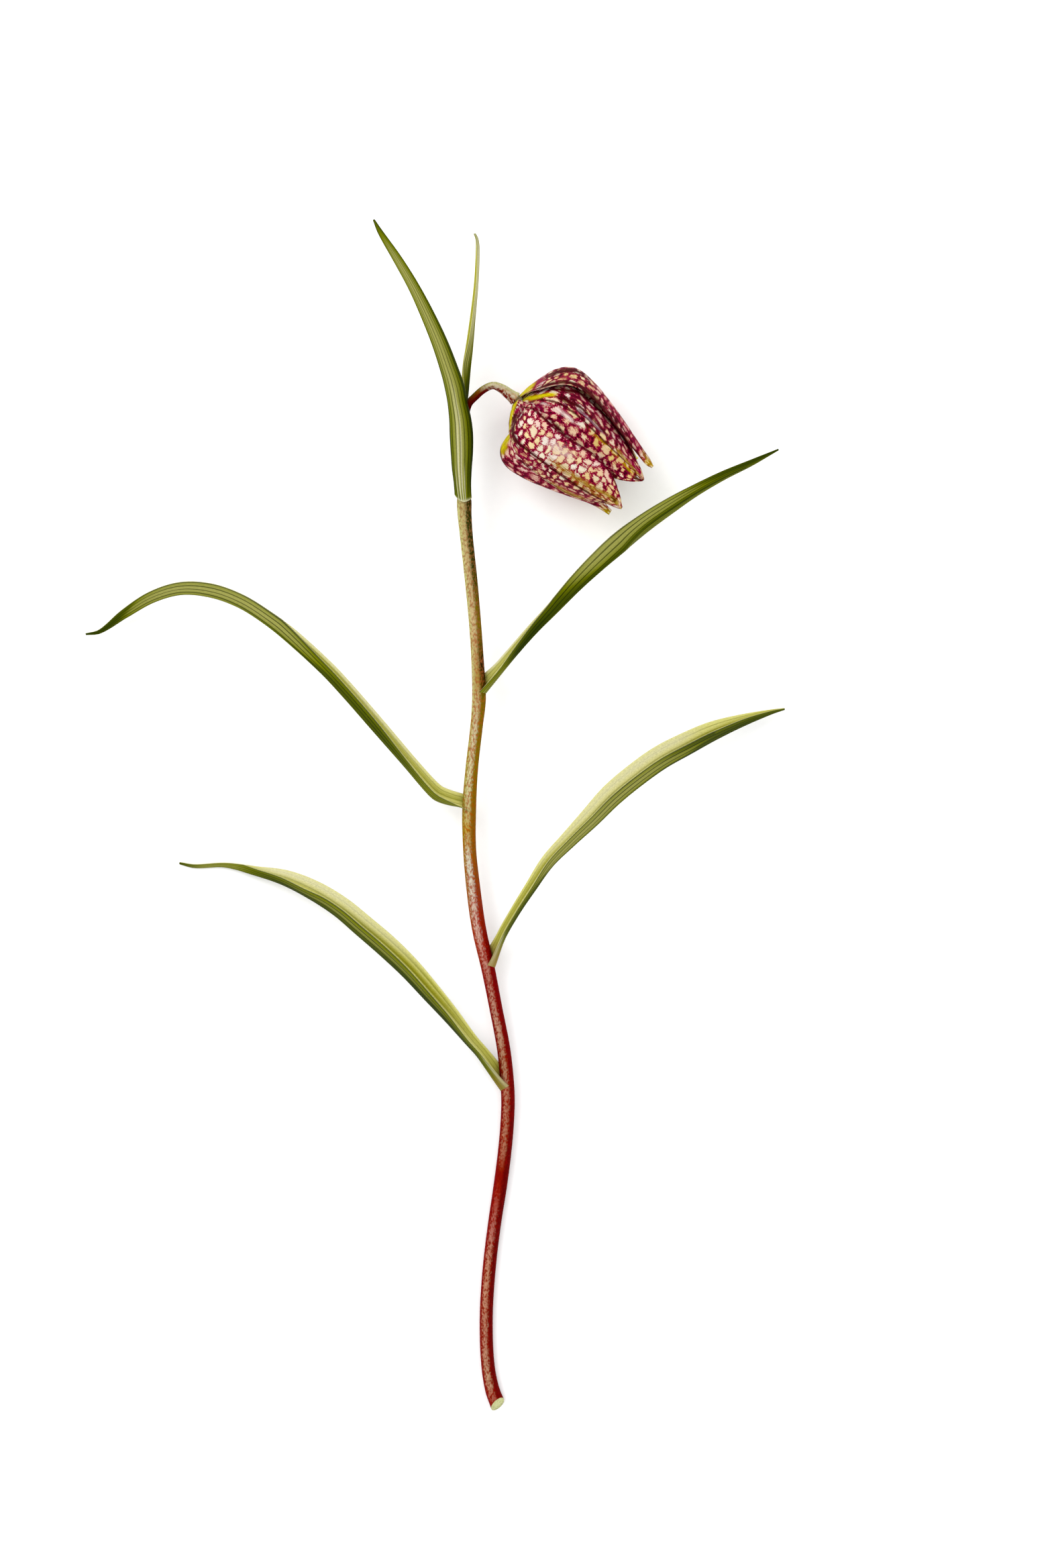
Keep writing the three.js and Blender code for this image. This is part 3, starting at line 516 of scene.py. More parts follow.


# %% [markdown]
# The skin of the stem is dull red in its lower half and turns through a pinkish buff to olive
# near the flower; the thin stalk above the last leaf is maroon again on its underside.
# A pale streak down the middle is a painted highlight, and the right side is painted in shade.
# The finish mixes three runs of colour by the side: the edge, the lit middle and the shaded right.
# Fine grain shakes the borders between them, so that they break up into dots, and small freckles
# are scattered over them: darker red below, brownish pink above.
# Sizes of noise are runs per metre across and along the stem, so 2300 is a grain of 0.43 mm.

# %% Stem skin
STEM_GRAIN = (2300, 1500, 2300)
STEM_FRECKLE = (2100, 1200, 2100)
STEM_PATCH = (500, 240, 500)
TOP_NODE = 0.9  # share of the stem's way; the thin stalk above it has no patches
# Left is the colour of the stem's edge, middle the lit middle lightened as a painted highlight,
# right the shaded side darkened as painted shade.
STEM_COLOURS = dict(
    left=[
        (0.0, "#86181a"), (0.2, "#861618"), (0.3, "#7a1012"), (0.4, "#8c1a1c"), (0.44, "#a8503e"),
        (0.48, "#a67a50"), (0.53, "#9c8034"), (0.6, "#b6ac5c"), (0.68, "#c9c488"),
        (0.83, "#cfcf8e"), (0.936, "#160a04"), (0.95, "#5a581a"), (0.965, "#a2a254"),
        (0.985, "#ced09a"),
    ],
    middle=[
        (0.0, "#a85a50"), (0.025, "#c6a084"), (0.06, "#bc8a76"), (0.12, "#c49278"),
        (0.16, "#bc8074"), (0.19, "#a85c52"), (0.212, "#8e2622"), (0.245, "#b47e68"),
        (0.29, "#b27c68"), (0.32, "#bc9478"), (0.36, "#c49a86"), (0.4, "#b87e70"),
        (0.43, "#cc9a8c"), (0.46, "#d8bcac"), (0.51, "#dcdac4"), (0.535, "#bc9e58"),
        (0.575, "#d8d4a4"), (0.63, "#d8c8a4"), (0.68, "#b09458"), (0.73, "#d0ba8e"),
        (0.79, "#c8b284"), (0.83, "#c4b480"), (0.936, "#440303"), (0.952, "#6e3c08"),
        (0.963, "#c8c09a"), (0.985, "#c2a480"),
    ],
    right=[
        (0.0, "#6e0e0c"), (0.2, "#620303"), (0.3, "#720a0a"), (0.4, "#780c0e"), (0.43, "#820e0e"),
        (0.47, "#94443a"), (0.52, "#8e6034"), (0.6, "#867028"), (0.655, "#7e681c"),
        (0.69, "#281802"), (0.73, "#826e2a"), (0.78, "#383802"), (0.83, "#303406"),
        (0.936, "#4a0303"), (0.955, "#5a0505"), (0.985, "#760909"),
    ],
    freckles=[
        (0.0, "#820f0c"), (0.4, "#8a1412"), (0.45, "#a43c34"), (0.52, "#a85a30"), (0.6, "#a6603c"),
        (0.7, "#a8684a"), (0.84, "#98704c"), (0.93, "#5a0505"), (0.957, "#6a1008"),
        (0.966, "#d6ccb4"),
    ],
)


def stem_skin():
    """Dull red to olive stem skin with a painted highlight down the middle and painted shade on the
    right; it gives the stem roundness and age.
    """
    material, add = new_material("stem skin")
    height, side, cut = (
        add("Attribute", out="Fac", attribute_name=mark) for mark in ("height", "side", "cut_face")
    )
    place = add("TexCoord", out="Object")
    grain, freckle, patch = (
        add("TexNoise", {
            "Vector": add("Mapping", {"Vector": place, "Scale": runs}), "Scale": 1.0, **fineness,
        })
        for runs, fineness in (
            (STEM_GRAIN, {"Detail": 3.0, "Roughness": 0.7}),
            (STEM_FRECKLE, {"Detail": 2.0}),
            (STEM_PATCH, {"Detail": 2.0}),
        )
    )
    # Patches move the colours up and down the stem by a little.
    at = add("MULTIPLY_ADD", (patch, 0.03, height))
    at = add("SUBTRACT", (at, 0.015))
    above_leaves = add("GREATER_THAN", (height, TOP_NODE))
    at = add("Mix", (above_leaves, at, height), data_type="FLOAT")
    left, middle, right, freckles = (
        add("ValToRGB", (at,), stops=stops) for stops in STEM_COLOURS.values()
    )
    # Grain shakes the borders between the three runs of colour: the edge, the lit middle with its
    # painted highlight and the right side in painted shade.
    wobble = add("MULTIPLY_ADD", (grain, 1.3, -0.65))
    shaken_side = add("ADD", (side, wobble))
    off_left, to_right = (
        add("MapRange", (shaken_side, start, end), interpolation_type="SMOOTHSTEP")
        for start, end in ((-0.9, -0.35), (-0.15, 0.45))
    )
    # The middle run is the painted highlight and the right run the painted shade.
    skin = add("Mix", (off_left, left, middle))
    skin = add("Mix", (to_right, skin, right))
    amount = add("MapRange", (freckle, 0.45, 0.64, 0.0, 0.8))
    skin = add("Mix", (amount, skin, freckles))
    pith = add("Mix", (freckle, "#cfd28c", "#eceec4"))
    skin = add("Mix", (cut, skin, pith))
    dust = add("MapRange", (grain, 0.35, 0.65, 0.84, 1.18))
    skin = add("HueSaturation", {"Color": skin, "Saturation": 1.12, "Value": dust})
    finish_skin(add, skin, grain, strength=0.2, depth=0.2, roughness=0.6)
    return material


# %% [markdown]
# The stem is drawn as rings 0.7 mm apart. At the bottom the rings lean over towards the slanted
# cut, so that the last one lies in the face of the cut. At the top they go on into the receptacle
# and the post inside the bell that the tepals stand round.

# %% The stem
STEM_RING_STEP = 0.7
STEM_SIDES = 40
CUT_NORMAL = unit(np.array([0.55, -0.67, 0.49]))
CUT_REACH = 5.0
CUT_EDGE = 0.0003  # share of the way at which a second ring keeps the cut's edge sharp


def pressed_flat(points, floor):
    """What would go under the table is pressed flat on it."""
    points[..., 2] = np.maximum(points[..., 2], floor)
    return points


def slanted_to_cut(rings, t):
    """Each point slides along the stem by -(aside . normal) / (along . normal), less and less
    over the reach of the cut, so that the end ring lies in its plane.
    """
    centre, along, _, _ = frames_along(stem_path, t)
    fade = np.maximum(0, 1 - np.linalg.norm(centre - centre[0], axis=1) / CUT_REACH)
    aside = rings - centre[:, None]
    slide = -(aside @ CUT_NORMAL) / (along @ CUT_NORMAL)[:, None]
    return rings + along[:, None] * (fade[:, None] * slide)[..., None]


stem_length = np.linalg.norm(np.diff(stem_path(stem_samples)[:, :3], axis=0), axis=1).sum()
stem_t = np.linspace(0, 1, int(stem_length / RISING_SHARE / STEM_RING_STEP))
stem_t = np.insert(stem_t, 1, CUT_EDGE)
stem_rings = round_rings(stem_path, stem_t, stem_path(stem_t)[:, 3], STEM_SIDES)
stem_rings = pressed_flat(slanted_to_cut(stem_rings, stem_t), 0.0)

cap_rows = np.array(RECEPTACLE_ROWS)
cap_middle = bell_base + bell_axis * cap_rows[:, :1]
cap_angle = np.arange(STEM_SIDES) * 2 * math.pi / STEM_SIDES
cap_turned = -bell_level * np.cos(cap_angle)[:, None] + bell_sky * np.sin(cap_angle)[:, None]
cap_rings = cap_middle[:, None] + cap_turned * cap_rows[:, 1, None, None]
rings = np.concatenate([stem_rings, cap_rings])

stem_points, stem_faces = closed_round(rings)
ring_angle = np.tile(cap_angle, len(rings))
middles = rings.mean(axis=1)
gone = np.linalg.norm(np.diff(middles, axis=0, prepend=middles[:1]), axis=1).cumsum()
gone = np.repeat(gone / gone[-1], STEM_SIDES)
stem_surface = np.stack([ring_angle / (2 * math.pi), gone], axis=1)
stem_surface = np.concatenate([stem_surface, [[0.5, 0.0], [0.5, 1.0]]])
side = np.concatenate([np.cos(ring_angle), [0.0, 0.0]])
cut_face = np.zeros(len(stem_points))
cut_face[:STEM_SIDES] = 1.0
cut_face[-2] = 1.0
make_piece(
    "stem_skin", stem_points, stem_faces, stem_surface,
    dict(height=stem_surface[:, 1], side=side, cut_face=cut_face), stem_skin(), "stem", "stem",
)

# %% [markdown]
# A leaf is a grooved blade, folded along its keel and twisting as it runs out. Its outer face is
# dull olive with dark parallel veins that run its whole length; the inner face, seen where the
# channel opens, is a pale yellow. Both are nearly matt, and the rim is lighter. Veins are counted
# across the blade, so they crowd together at the tip as they do on the plant. Strands and grain
# have their runs per width and per length of the blade.

# %% Leaf flesh
VEINS = 8
LEAF_STRANDS = (26, 5, 1)
LEAF_GRAIN = (70, 160, 1)
SLOW_TONE = 90.0  # runs per metre, so about 11 mm
# lit is painted light and dark painted shade; pale and blush make the skin paler and browner.
LEAF_MARKS = ("lit", "dark", "pale", "blush")


def leaf_flesh():
    """Veined olive outside and pale inside with a light rim, with painted light and shade from the
    strokes; it gives the leaves their grain.
    """
    material, add = new_material("leaf flesh")
    blade_map = add("UVMap", uv_map="surface")
    across, along = add("SeparateXYZ", (blade_map,)).node.outputs[:2]
    inside, lit, dark, pale, blush = (
        add("Attribute", out="Fac", attribute_name=mark) for mark in ("inside", *LEAF_MARKS)
    )
    place = add("TexCoord", out="Object")
    slow = add("TexNoise", {"Vector": place, "Scale": SLOW_TONE, "Detail": 2.0})
    strand_at = add("CombineXYZ", (across, along))
    strand, grain = (
        add("TexNoise", {
            "Vector": add("Mapping", {"Vector": strand_at, "Scale": runs}), "Scale": 1.0,
            "Detail": 3.0, "Roughness": roughness,
        })
        for runs, roughness in ((LEAF_STRANDS, 0.5), (LEAF_GRAIN, 0.65))
    )
    # Veins are the crests of a wave across the blade, bent and broken by the strands.
    bent = add("MULTIPLY_ADD", (strand, 0.035, across))
    turns = add("MULTIPLY", (bent, 2 * math.pi * VEINS))
    wave = add("COSINE", (turns,))
    vein = add("MapRange", (wave, 0.5, 0.9), interpolation_type="SMOOTHSTEP")
    drawn = add("MapRange", (strand, 0.35, 0.55, 0.7))
    vein = add("MULTIPLY", (vein, drawn))
    green = add("Mix", (slow, "#666e12", "#7e8426"))
    # Lit strokes mix in a painted highlight and dark strokes painted shade.
    green = add("Mix", (lit, green, "#aaa96c"))
    green = add("Mix", (dark, green, "#303e00"))
    strong = add("MULTIPLY_ADD", (lit, -0.2, 0.92))
    strong = add("MULTIPLY", (vein, strong))
    green = add("Mix", (strong, green, "#1c2800"))
    cream = add("Mix", (slow, "#e8e48e", "#f4f0b0"))
    # Dark strokes paint shade on the pale inner face too.
    cream = add("Mix", (dark, cream, "#a4a244"))
    faint = add("MULTIPLY", (vein, 0.5))
    cream = add("Mix", (faint, cream, "#7c7e2c"))
    flesh = add("Mix", (inside, green, cream))
    flesh = add("Mix", (pale, flesh, "#f3efcc"))
    flesh = add("Mix", (blush, flesh, "#a68c60"))
    value = add("MapRange", (grain, 0.35, 0.65, 0.86, 1.14))
    flesh = add("HueSaturation", {"Color": flesh, "Saturation": 1.2, "Value": value})
    relief = add("MULTIPLY_ADD", (vein, -0.6, grain))
    finish_skin(add, flesh, relief, strength=0.3, depth=0.25, roughness=0.5)
    return material


leaf_material = leaf_flesh()

# %% [markdown]
# Each leaf has rows for its path: where the middle of the blade is seen from above, how high its
# keel is and how wide it looks. The section rows say how far each half is folded, how far the
# whole channel has rolled over, and whether the base is an arc that wraps the stem. Soft strokes
# paint where the blade catches the light and where it is in shade, as painted light and painted
# shade, and where it turns paler.

# %% Six leaves in rows of numbers
LEAF_THICKNESS = 0.6
KEEL_ROUNDING = 0.16
LEAVES = {}
LEAVES["leaf_lowest_left"] = dict(
    side=1, base=dict(y=-72.6, stem=1.82, wrap=(-80, 104), rise=(5.4, 1.5), turn=0, reach=7),
    path=[
        (16.4, -68.7, 3.9, 3.5), (14.9, -65.6, 4.9, 3.8), (12.4, -62.2, 6.0, 3.5),
        (9.7, -59.1, 7.0, 3.6), (4.5, -52.6, 8.6, 4.5), (-0.9, -46.3, 9.7, 5.3),
        (-6.4, -40.1, 10.2, 5.8), (-12.4, -34.3, 10.0, 6.1), (-18.6, -29.0, 9.2, 6.0),
        (-24.9, -23.8, 8.0, 5.7), (-31.9, -19.5, 6.3, 5.3), (-39.5, -16.2, 4.4, 4.2),
        (-47.5, -14.4, 2.4, 2.5), (-55.6, -12.9, 0.9, 1.3), (-63.7, -13.2, 0.55, 1.1),
        (-67.7, -12.4, 0.5, 0.7),
    ],
    section=[
        (0, 52, 62, 0), (0.12, 52, 60, 0), (0.22, 57, 61, 0), (0.6, 58, 62, 0), (0.68, 54, 60, 0),
        (0.78, 50, 75, 0), (0.86, 42, 95, 0), (1, 30, 110, 0),
    ],
)
LEAVES["leaf_lower_right"] = dict(
    side=-1, base=dict(y=-40.4, stem=1.8, wrap=(-80, 92), rise=(5.0, 1.2), turn=0, reach=6),
    path=[
        (15.8, -37.0, 5.6, 2.6), (17.0, -32.5, 6.8, 2.6), (20.9, -25.4, 8.6, 2.75),
        (25.3, -18.5, 10.2, 3.2), (29.7, -11.9, 11.5, 3.8), (35.2, -6.1, 12.4, 4.5),
        (40.9, -0.3, 12.9, 5.5), (46.5, 5.6, 13.0, 6.2), (52.7, 10.8, 12.5, 6.4),
        (59.3, 15.5, 11.4, 6.4), (66.2, 19.2, 9.8, 6.1), (73.3, 22.6, 7.8, 5.2),
        (81.1, 25.4, 5.4, 3.4), (88.8, 27.6, 3.2, 1.5), (92.5, 28.4, 2.3, 0.7),
    ],
    section=[
        (0, 52, 62, 0), (0.08, 52, 62, 0), (0.2, 54, 62, 0), (0.33, 58, 65, 0), (0.5, 59, 62, 0),
        (0.8, 58, 62, 0), (0.9, 52, 73, 0), (1, 40, 85, 0),
    ],
)
LEAVES["leaf_upper_left"] = dict(
    side=1, base=dict(y=2.4, stem=1.84, wrap=(-80, 92), rise=(3.2, -1.2), turn=0, reach=6),
    path=[
        (6.4, 4.2, 7.5, 3.4), (3.5, 4.9, 8.2, 4.1), (1.1, 6.1, 8.8, 4.2), (-1.1, 8.1, 9.4, 4.0),
        (-6.5, 14.3, 10.8, 3.8), (-14.6, 23.7, 12.4, 4.05), (-22.7, 33.0, 13.4, 4.1),
        (-28.3, 39.0, 13.7, 4.1), (-37.5, 47.4, 13.4, 4.0), (-44.0, 52.4, 12.6, 3.7),
        (-51.1, 56.8, 11.3, 3.65), (-58.9, 59.6, 9.6, 3.7), (-67.1, 60.2, 7.6, 3.4),
        (-75.0, 57.9, 5.4, 3.1), (-82.1, 53.6, 3.4, 2.6), (-88.7, 48.9, 1.7, 1.3),
        (-92.5, 48.2, 1.1, 0.7),
    ],
    section=[
        (0, 52, 62, 0), (0.1, 52, 63, 0), (0.14, 54, 64, 0), (0.25, 60, 70, 0), (0.4, 61, 72, 0),
        (0.5, 56, 85, 0), (0.62, 46, 104, 0), (0.8, 36, 120, 0), (1, 30, 130, 0),
    ],
)
LEAVES["leaf_upper_right"] = dict(
    side=-1, base=dict(y=32.4, stem=1.83, wrap=(-80, 90), rise=(4.6, 0.4), turn=0, reach=6),
    path=[
        (13.9, 35.4, 9.2, 3.1), (15.2, 37.1, 9.7, 3.1), (20.5, 43.4, 11.2, 2.95),
        (25.9, 49.5, 12.5, 3.05), (31.5, 55.3, 13.6, 3.45), (37.0, 61.3, 14.4, 4.25),
        (42.8, 67.0, 14.8, 5.0), (48.9, 72.4, 14.8, 5.5), (55.4, 77.4, 14.3, 5.0),
        (62.1, 81.9, 13.3, 4.3), (69.0, 86.1, 11.9, 3.3), (76.3, 90.0, 10.2, 2.6),
        (83.7, 93.4, 8.3, 1.9), (90.8, 96.9, 6.3, 0.7),
    ],
    section=[
        (0, 50, 61, 0), (0.05, 52, 62, 0), (0.13, 58, 72, 0), (0.2, 60, 82, 0), (0.28, 60, 90, 0),
        (0.36, 55, 100, 0), (0.5, 38, 125, 0), (0.6, 30, 138, 0), (1, 28, 142, 0),
    ],
)
LEAVES["leaf_top_back"] = dict(
    side=-1, base=dict(y=84.4, stem=1.25, wrap=(-58, 58), rise=(1, 1), turn=-90, reach=6),
    path=[
        (7.5, 85.6, 9.7, 3.0), (7.3, 93.0, 9.8, 3.2), (7.3, 100.3, 10.1, 3.0),
        (7.4, 107.3, 10.4, 2.2), (7.9, 112.7, 10.8, 2.1), (8.4, 118.9, 11.2, 2.2),
        (9.0, 123.3, 11.4, 2.0), (10.0, 132.1, 11.7, 1.5), (10.9, 141.0, 11.6, 1.25),
        (11.3, 149.5, 11.2, 1.1), (11.1, 152.2, 11.0, 0.9), (10.5, 153.6, 10.9, 0.7),
    ],
    section=[
        (0, 40, 0, 1), (0.15, 45, 8, 1), (0.35, 52, 60, 0.5), (0.48, 55, 85, 0), (0.6, 55, 72, 0),
        (0.8, 50, 62, 0), (0.92, 40, 80, 0), (1, 30, 95, 0),
    ],
)
LEAVES["leaf_top_front"] = dict(
    side=1,
    base=dict(y=82.9, stem=2.05, wrap=(-66, 50), rise=(2.1, 0.9), turn=90, reach=4, lift=0.6),
    path=[
        (7.5, 83.9, 14.2, 4.3), (7.35, 87.9, 14.4, 4.7), (7.2, 91.8, 14.7, 5.4),
        (7.2, 95.8, 15.4, 6.0), (7.1, 100.1, 16.3, 6.25), (6.8, 104.3, 17.1, 5.85),
        (6.1, 108.5, 17.9, 5.25), (5.4, 112.5, 18.5, 5.3), (4.3, 116.4, 18.9, 4.95),
        (1.5, 124.3, 19.2, 4.4), (-1.8, 131.9, 18.9, 3.85), (-5.5, 139.4, 18.1, 3.2),
        (-9.7, 146.6, 16.9, 2.65), (-14.2, 153.7, 15.3, 1.7), (-16.0, 157.1, 14.5, 0.8),
    ],
    section=[
        (0, 60, 178, 1), (0.25, 60, 176, 1), (0.45, 45, 172, 0.4), (0.65, 36, 170, 0),
        (1, 30, 170, 0),
    ],
)
# Lit strokes are painted light and dark strokes painted shade; pale strokes lighten margins and
# stripes, and blush browns the base.
LEAF_PAINT = {}
LEAF_PAINT["leaf_lowest_left"] = dict(
    lit=[
        [(0.1, 0.65, 0.12, 0), (0.25, 0.65, 0.14, 0.6), (0.6, 0.6, 0.2, 0.7),
         (0.74, 0.6, 0.2, 0.3), (0.8, 0.6, 0.3, 0.2), (0.86, 0.5, 0.5, 0.5), (0.95, 0.4, 0.6, 0.7),
         (1, 0.4, 0.6, 0.5)],
    ],
    dark=[
        [(0.04, 0.35, 0.3, 0), (0.1, 0.35, 0.4, 0.8), (0.3, 0.3, 0.35, 1), (0.5, 0.3, 0.3, 0.7),
         (0.72, 0.3, 0.4, 0.9), (0.8, 0.5, 0.5, 0.5), (0.86, 0.5, 0.4, 0)],
        [(0.94, 0.4, 0.6, 0), (0.97, 0.5, 1, 0.5), (1, 0.5, 1, 0.8)],
        [(0, -0.7, 0.4, 0.8), (0.1, -0.7, 0.25, 0.6), (0.25, -0.6, 0.14, 0.9),
         (0.45, -0.58, 0.12, 0.9), (0.7, -0.5, 0.1, 0.6), (0.85, -0.6, 0.3, 0.8)],
        [(0.1, -0.86, 0.06, 0), (0.25, -0.84, 0.07, 0.7), (0.42, -0.84, 0.05, 0.6),
         (0.55, -0.84, 0.05, 0)],
    ],
    pale=[
        [(0.3, -0.9, 0.1, 0), (0.45, -0.85, 0.2, 0.5), (0.75, -0.8, 0.25, 0.8),
         (0.84, -0.8, 0.2, 0)],
        [(0, 0.9, 0.2, 0.5), (0.03, 0.9, 0.16, 0.6), (0.08, 0.95, 0.1, 0)],
    ],
    blush=[[(0, 0, 2, 0.7), (0.025, 0, 2, 0.5), (0.05, 0.3, 0.6, 0)]],
)
LEAF_PAINT["leaf_lower_right"] = dict(
    lit=[
        [(0, 0.5, 0.5, 0.5), (0.12, 0.6, 0.4, 0.4), (0.2, 0.6, 0.4, 0.4), (0.28, 0.6, 0.45, 0.9),
         (0.5, 0.6, 0.4, 0.9), (0.65, 0.6, 0.35, 0.7), (0.75, 0.5, 0.3, 0.3), (0.82, 0.5, 0.3, 0)],
    ],
    dark=[
        [(0.04, 0.4, 0.5, 0), (0.08, 0.4, 0.6, 0.7), (0.2, 0.35, 0.4, 0.8), (0.28, 0.1, 0.15, 0.8),
         (0.7, 0.1, 0.18, 0.9), (0.8, 0.4, 0.5, 0.8), (0.9, 0.4, 0.6, 0.8), (1, 0.4, 0.6, 0.5)],
        [(0.62, 0.85, 0.15, 0), (0.72, 0.85, 0.2, 0.6), (0.8, 0.85, 0.3, 0.8)],
        [(0, -0.7, 0.3, 0.7), (0.2, -0.62, 0.2, 0.7), (0.5, -0.52, 0.08, 0.7),
         (0.8, -0.52, 0.1, 0.7), (1, -0.6, 0.4, 0.7)],
    ],
    pale=[
        [(0.2, -0.9, 0.15, 0), (0.35, -0.82, 0.2, 0.6), (0.7, -0.8, 0.22, 0.8),
         (0.8, -0.85, 0.15, 0)],
        [(0, 0.8, 0.3, 0.5), (0.03, 0.85, 0.2, 0.6), (0.08, 0.95, 0.1, 0)],
    ],
    blush=[[(0, 0, 2, 0.9), (0.025, 0, 2, 0.7), (0.05, 0, 2, 0)]],
)
LEAF_PAINT["leaf_upper_left"] = dict(
    lit=[
        [(0, 0.5, 0.6, 0.4), (0.08, 0.5, 0.5, 0.2), (0.14, 0.5, 0.3, 0)],
        [(0.4, 0.6, 0.2, 0), (0.5, 0.6, 0.4, 0.8), (0.6, 0.55, 0.5, 1), (0.8, 0.5, 0.55, 1),
         (0.88, 0.4, 0.4, 0.6), (0.93, 0.4, 0.3, 0)],
    ],
    dark=[
        [(0.08, 0.7, 0.3, 0), (0.18, 0.5, 0.45, 0.6), (0.35, 0.4, 0.4, 0.7),
         (0.45, 0.2, 0.12, 0.8), (0.6, 0.15, 0.07, 0.7), (0.75, 0.2, 0.06, 0)],
        [(0.38, 0.95, 0.1, 0), (0.45, 0.97, 0.1, 0.7), (0.86, 0.97, 0.1, 0.6),
         (0.93, 0.5, 0.8, 0.9), (1, 0.5, 1, 1)],
        [(0, -0.6, 0.2, 0.6), (0.3, -0.72, 0.1, 0.7), (0.5, -0.76, 0.08, 0.7),
         (0.55, -0.8, 0.05, 0)],
    ],
    pale=[
        [(0.05, -0.9, 0.15, 0), (0.2, -0.9, 0.12, 0.6), (0.5, -0.95, 0.1, 0.6), (0.6, -1, 0.1, 0)],
    ],
)
LEAF_PAINT["leaf_upper_right"] = dict(
    lit=[
        [(0, 0.4, 0.5, 0.7), (0.05, 0.4, 0.4, 0.4), (0.09, 0.4, 0.3, 0)],
        [(0.3, 0.8, 0.3, 0), (0.4, 0.75, 0.4, 0.8), (0.5, 0.7, 0.5, 0.9), (0.65, 0.6, 0.5, 0.7),
         (0.75, 0.55, 0.4, 0.4), (0.82, 0.5, 0.3, 0)],
    ],
    dark=[
        [(0.05, 0.4, 0.4, 0), (0.12, 0.4, 0.6, 1), (0.25, 0.4, 0.6, 0.9), (0.36, 0.2, 0.35, 0.7),
         (0.42, 0.1, 0.15, 0.6), (0.46, 0.1, 0.1, 0)],
        [(0.7, 0.9, 0.2, 0), (0.8, 0.7, 0.5, 0.7), (0.88, 0.6, 0.6, 0.9), (1, 0.5, 1, 1)],
        [(0.25, 0.1, 0.1, 0), (0.3, 0.12, 0.1, 0.9), (0.55, 0.08, 0.12, 0.9), (0.7, 0, 0.18, 0.9),
         (0.9, -0.1, 0.25, 0.8)],
        [(0, -0.7, 0.3, 0.5), (0.25, -0.8, 0.2, 0.5)],
    ],
    pale=[
        [(0.02, -0.95, 0.1, 0), (0.06, -0.95, 0.12, 0.8), (0.2, -0.97, 0.08, 0.8),
         (0.3, -1, 0.05, 0)],
    ],
)
LEAF_PAINT["leaf_top_back"] = dict(
    lit=[
        [(0.42, 0.7, 0.3, 0), (0.5, 0.7, 0.5, 0.8), (0.6, 0.6, 0.7, 1), (0.95, 0.6, 0.8, 1),
         (1, 0.6, 0.6, 0.5)],
    ],
    dark=[
        [(0, 0, 2, 0.8), (0.35, 0.4, 1, 0.9), (0.45, 0.3, 0.3, 0.8), (0.55, 0.25, 0.12, 0.5),
         (0.7, 0.3, 0.1, 0)],
        [(0.3, -0.8, 0.5, 0.9), (0.5, -0.8, 0.3, 0.8), (0.7, -0.7, 0.3, 0.8), (1, -0.8, 0.5, 0.8)],
    ],
    pale=[[(0.55, 0.9, 0.3, 0), (0.7, 0.7, 0.4, 0.5), (0.9, 0.6, 0.5, 0.6), (1, 0.5, 0.5, 0.3)]],
)
LEAF_PAINT["leaf_top_front"] = dict(
    lit=[
        [(0.01, -0.1, 0.4, 0), (0.05, -0.1, 0.42, 0.9), (0.3, -0.1, 0.42, 1), (0.5, -0.1, 0.6, 1),
         (0.85, -0.1, 0.6, 0.9), (0.96, 0, 0.3, 0)],
    ],
    dark=[
        [(0.01, -0.9, 0.3, 0), (0.05, -0.9, 0.36, 0.9), (0.4, -0.95, 0.22, 0.7),
         (0.9, -0.95, 0.15, 0.5), (1, -0.5, 0.6, 0.8)],
        [(0.01, 0.75, 0.35, 0), (0.05, 0.78, 0.4, 0.9), (0.3, 0.88, 0.4, 1),
         (0.6, 0.92, 0.24, 0.9), (0.9, 0.9, 0.2, 0.6), (1, 0.5, 0.6, 0.8)],
    ],
    pale=[
        [(0, 0, 2, 0.9), (0.008, 0, 2, 0.7), (0.02, 0, 2, 0)],
        [(0, -0.42, 0.03, 0.9), (0.06, -0.42, 0.03, 0.6), (0.12, -0.42, 0.02, 0)],
        [(0, -0.2, 0.04, 0.9), (0.2, -0.18, 0.05, 0.7), (0.45, -0.12, 0.04, 0)],
        [(0, 0.0, 0.03, 0.9), (0.1, 0.0, 0.04, 0.6), (0.3, 0.0, 0.04, 0.4), (0.4, 0.0, 0.02, 0)],
        [(0, 0.2, 0.03, 0.9), (0.06, 0.2, 0.03, 0.6), (0.12, 0.2, 0.02, 0)],
    ],
)
print("leaves:", ", ".join(LEAVES))

# %% [markdown]
# The blade's two faces are worked out together. A folded or arched section of half width 1 is
# scaled until it looks as wide as its row says, turned by the roll and set across the path. Near
# the base the rows go over into an arc that lies on the skin of the stem. The blade thins out
# towards its margins and its tip.

# %% From rows to blades
LEAF_ROWS = 150
LEAF_COLUMNS = 33
BASE_ON_SKIN = 0.06
BASE_UNDER_SKIN = -0.25
ARC_WRAP = 1.4  # radians to each side
SECTION_STEP = 0.01
LEAST_HALF_WIDTH = 0.3
LEAF_MARGIN_THINNING, LEAF_TIP_THINNING = 0.55, 0.5
INNER_FACE_LIFT = 0.3  # between the two faces where the table presses them flat
TOWARDS_BASE = 1.3  # above 1 the rows of the grid stand closer near the base
RIM_WIDTH = 0.06
RIM_PALENESS = (0.4, 0.15)  # on the left and on the right edge


def section_point(s, fold, arc):
    """A V of that fold with a rounded keel, or an arc, or between them: across and up."""
    angle = np.radians(fold)
    rounded = np.hypot(s, KEEL_ROUNDING) - KEEL_ROUNDING
    v_across, v_up = s * np.cos(angle), np.sin(angle) * rounded
    arc_across, arc_up = np.sin(s * ARC_WRAP) / ARC_WRAP, (1 - np.cos(s * ARC_WRAP)) / ARC_WRAP
    return v_across + (arc_across - v_across) * arc, v_up + (arc_up - v_up) * arc


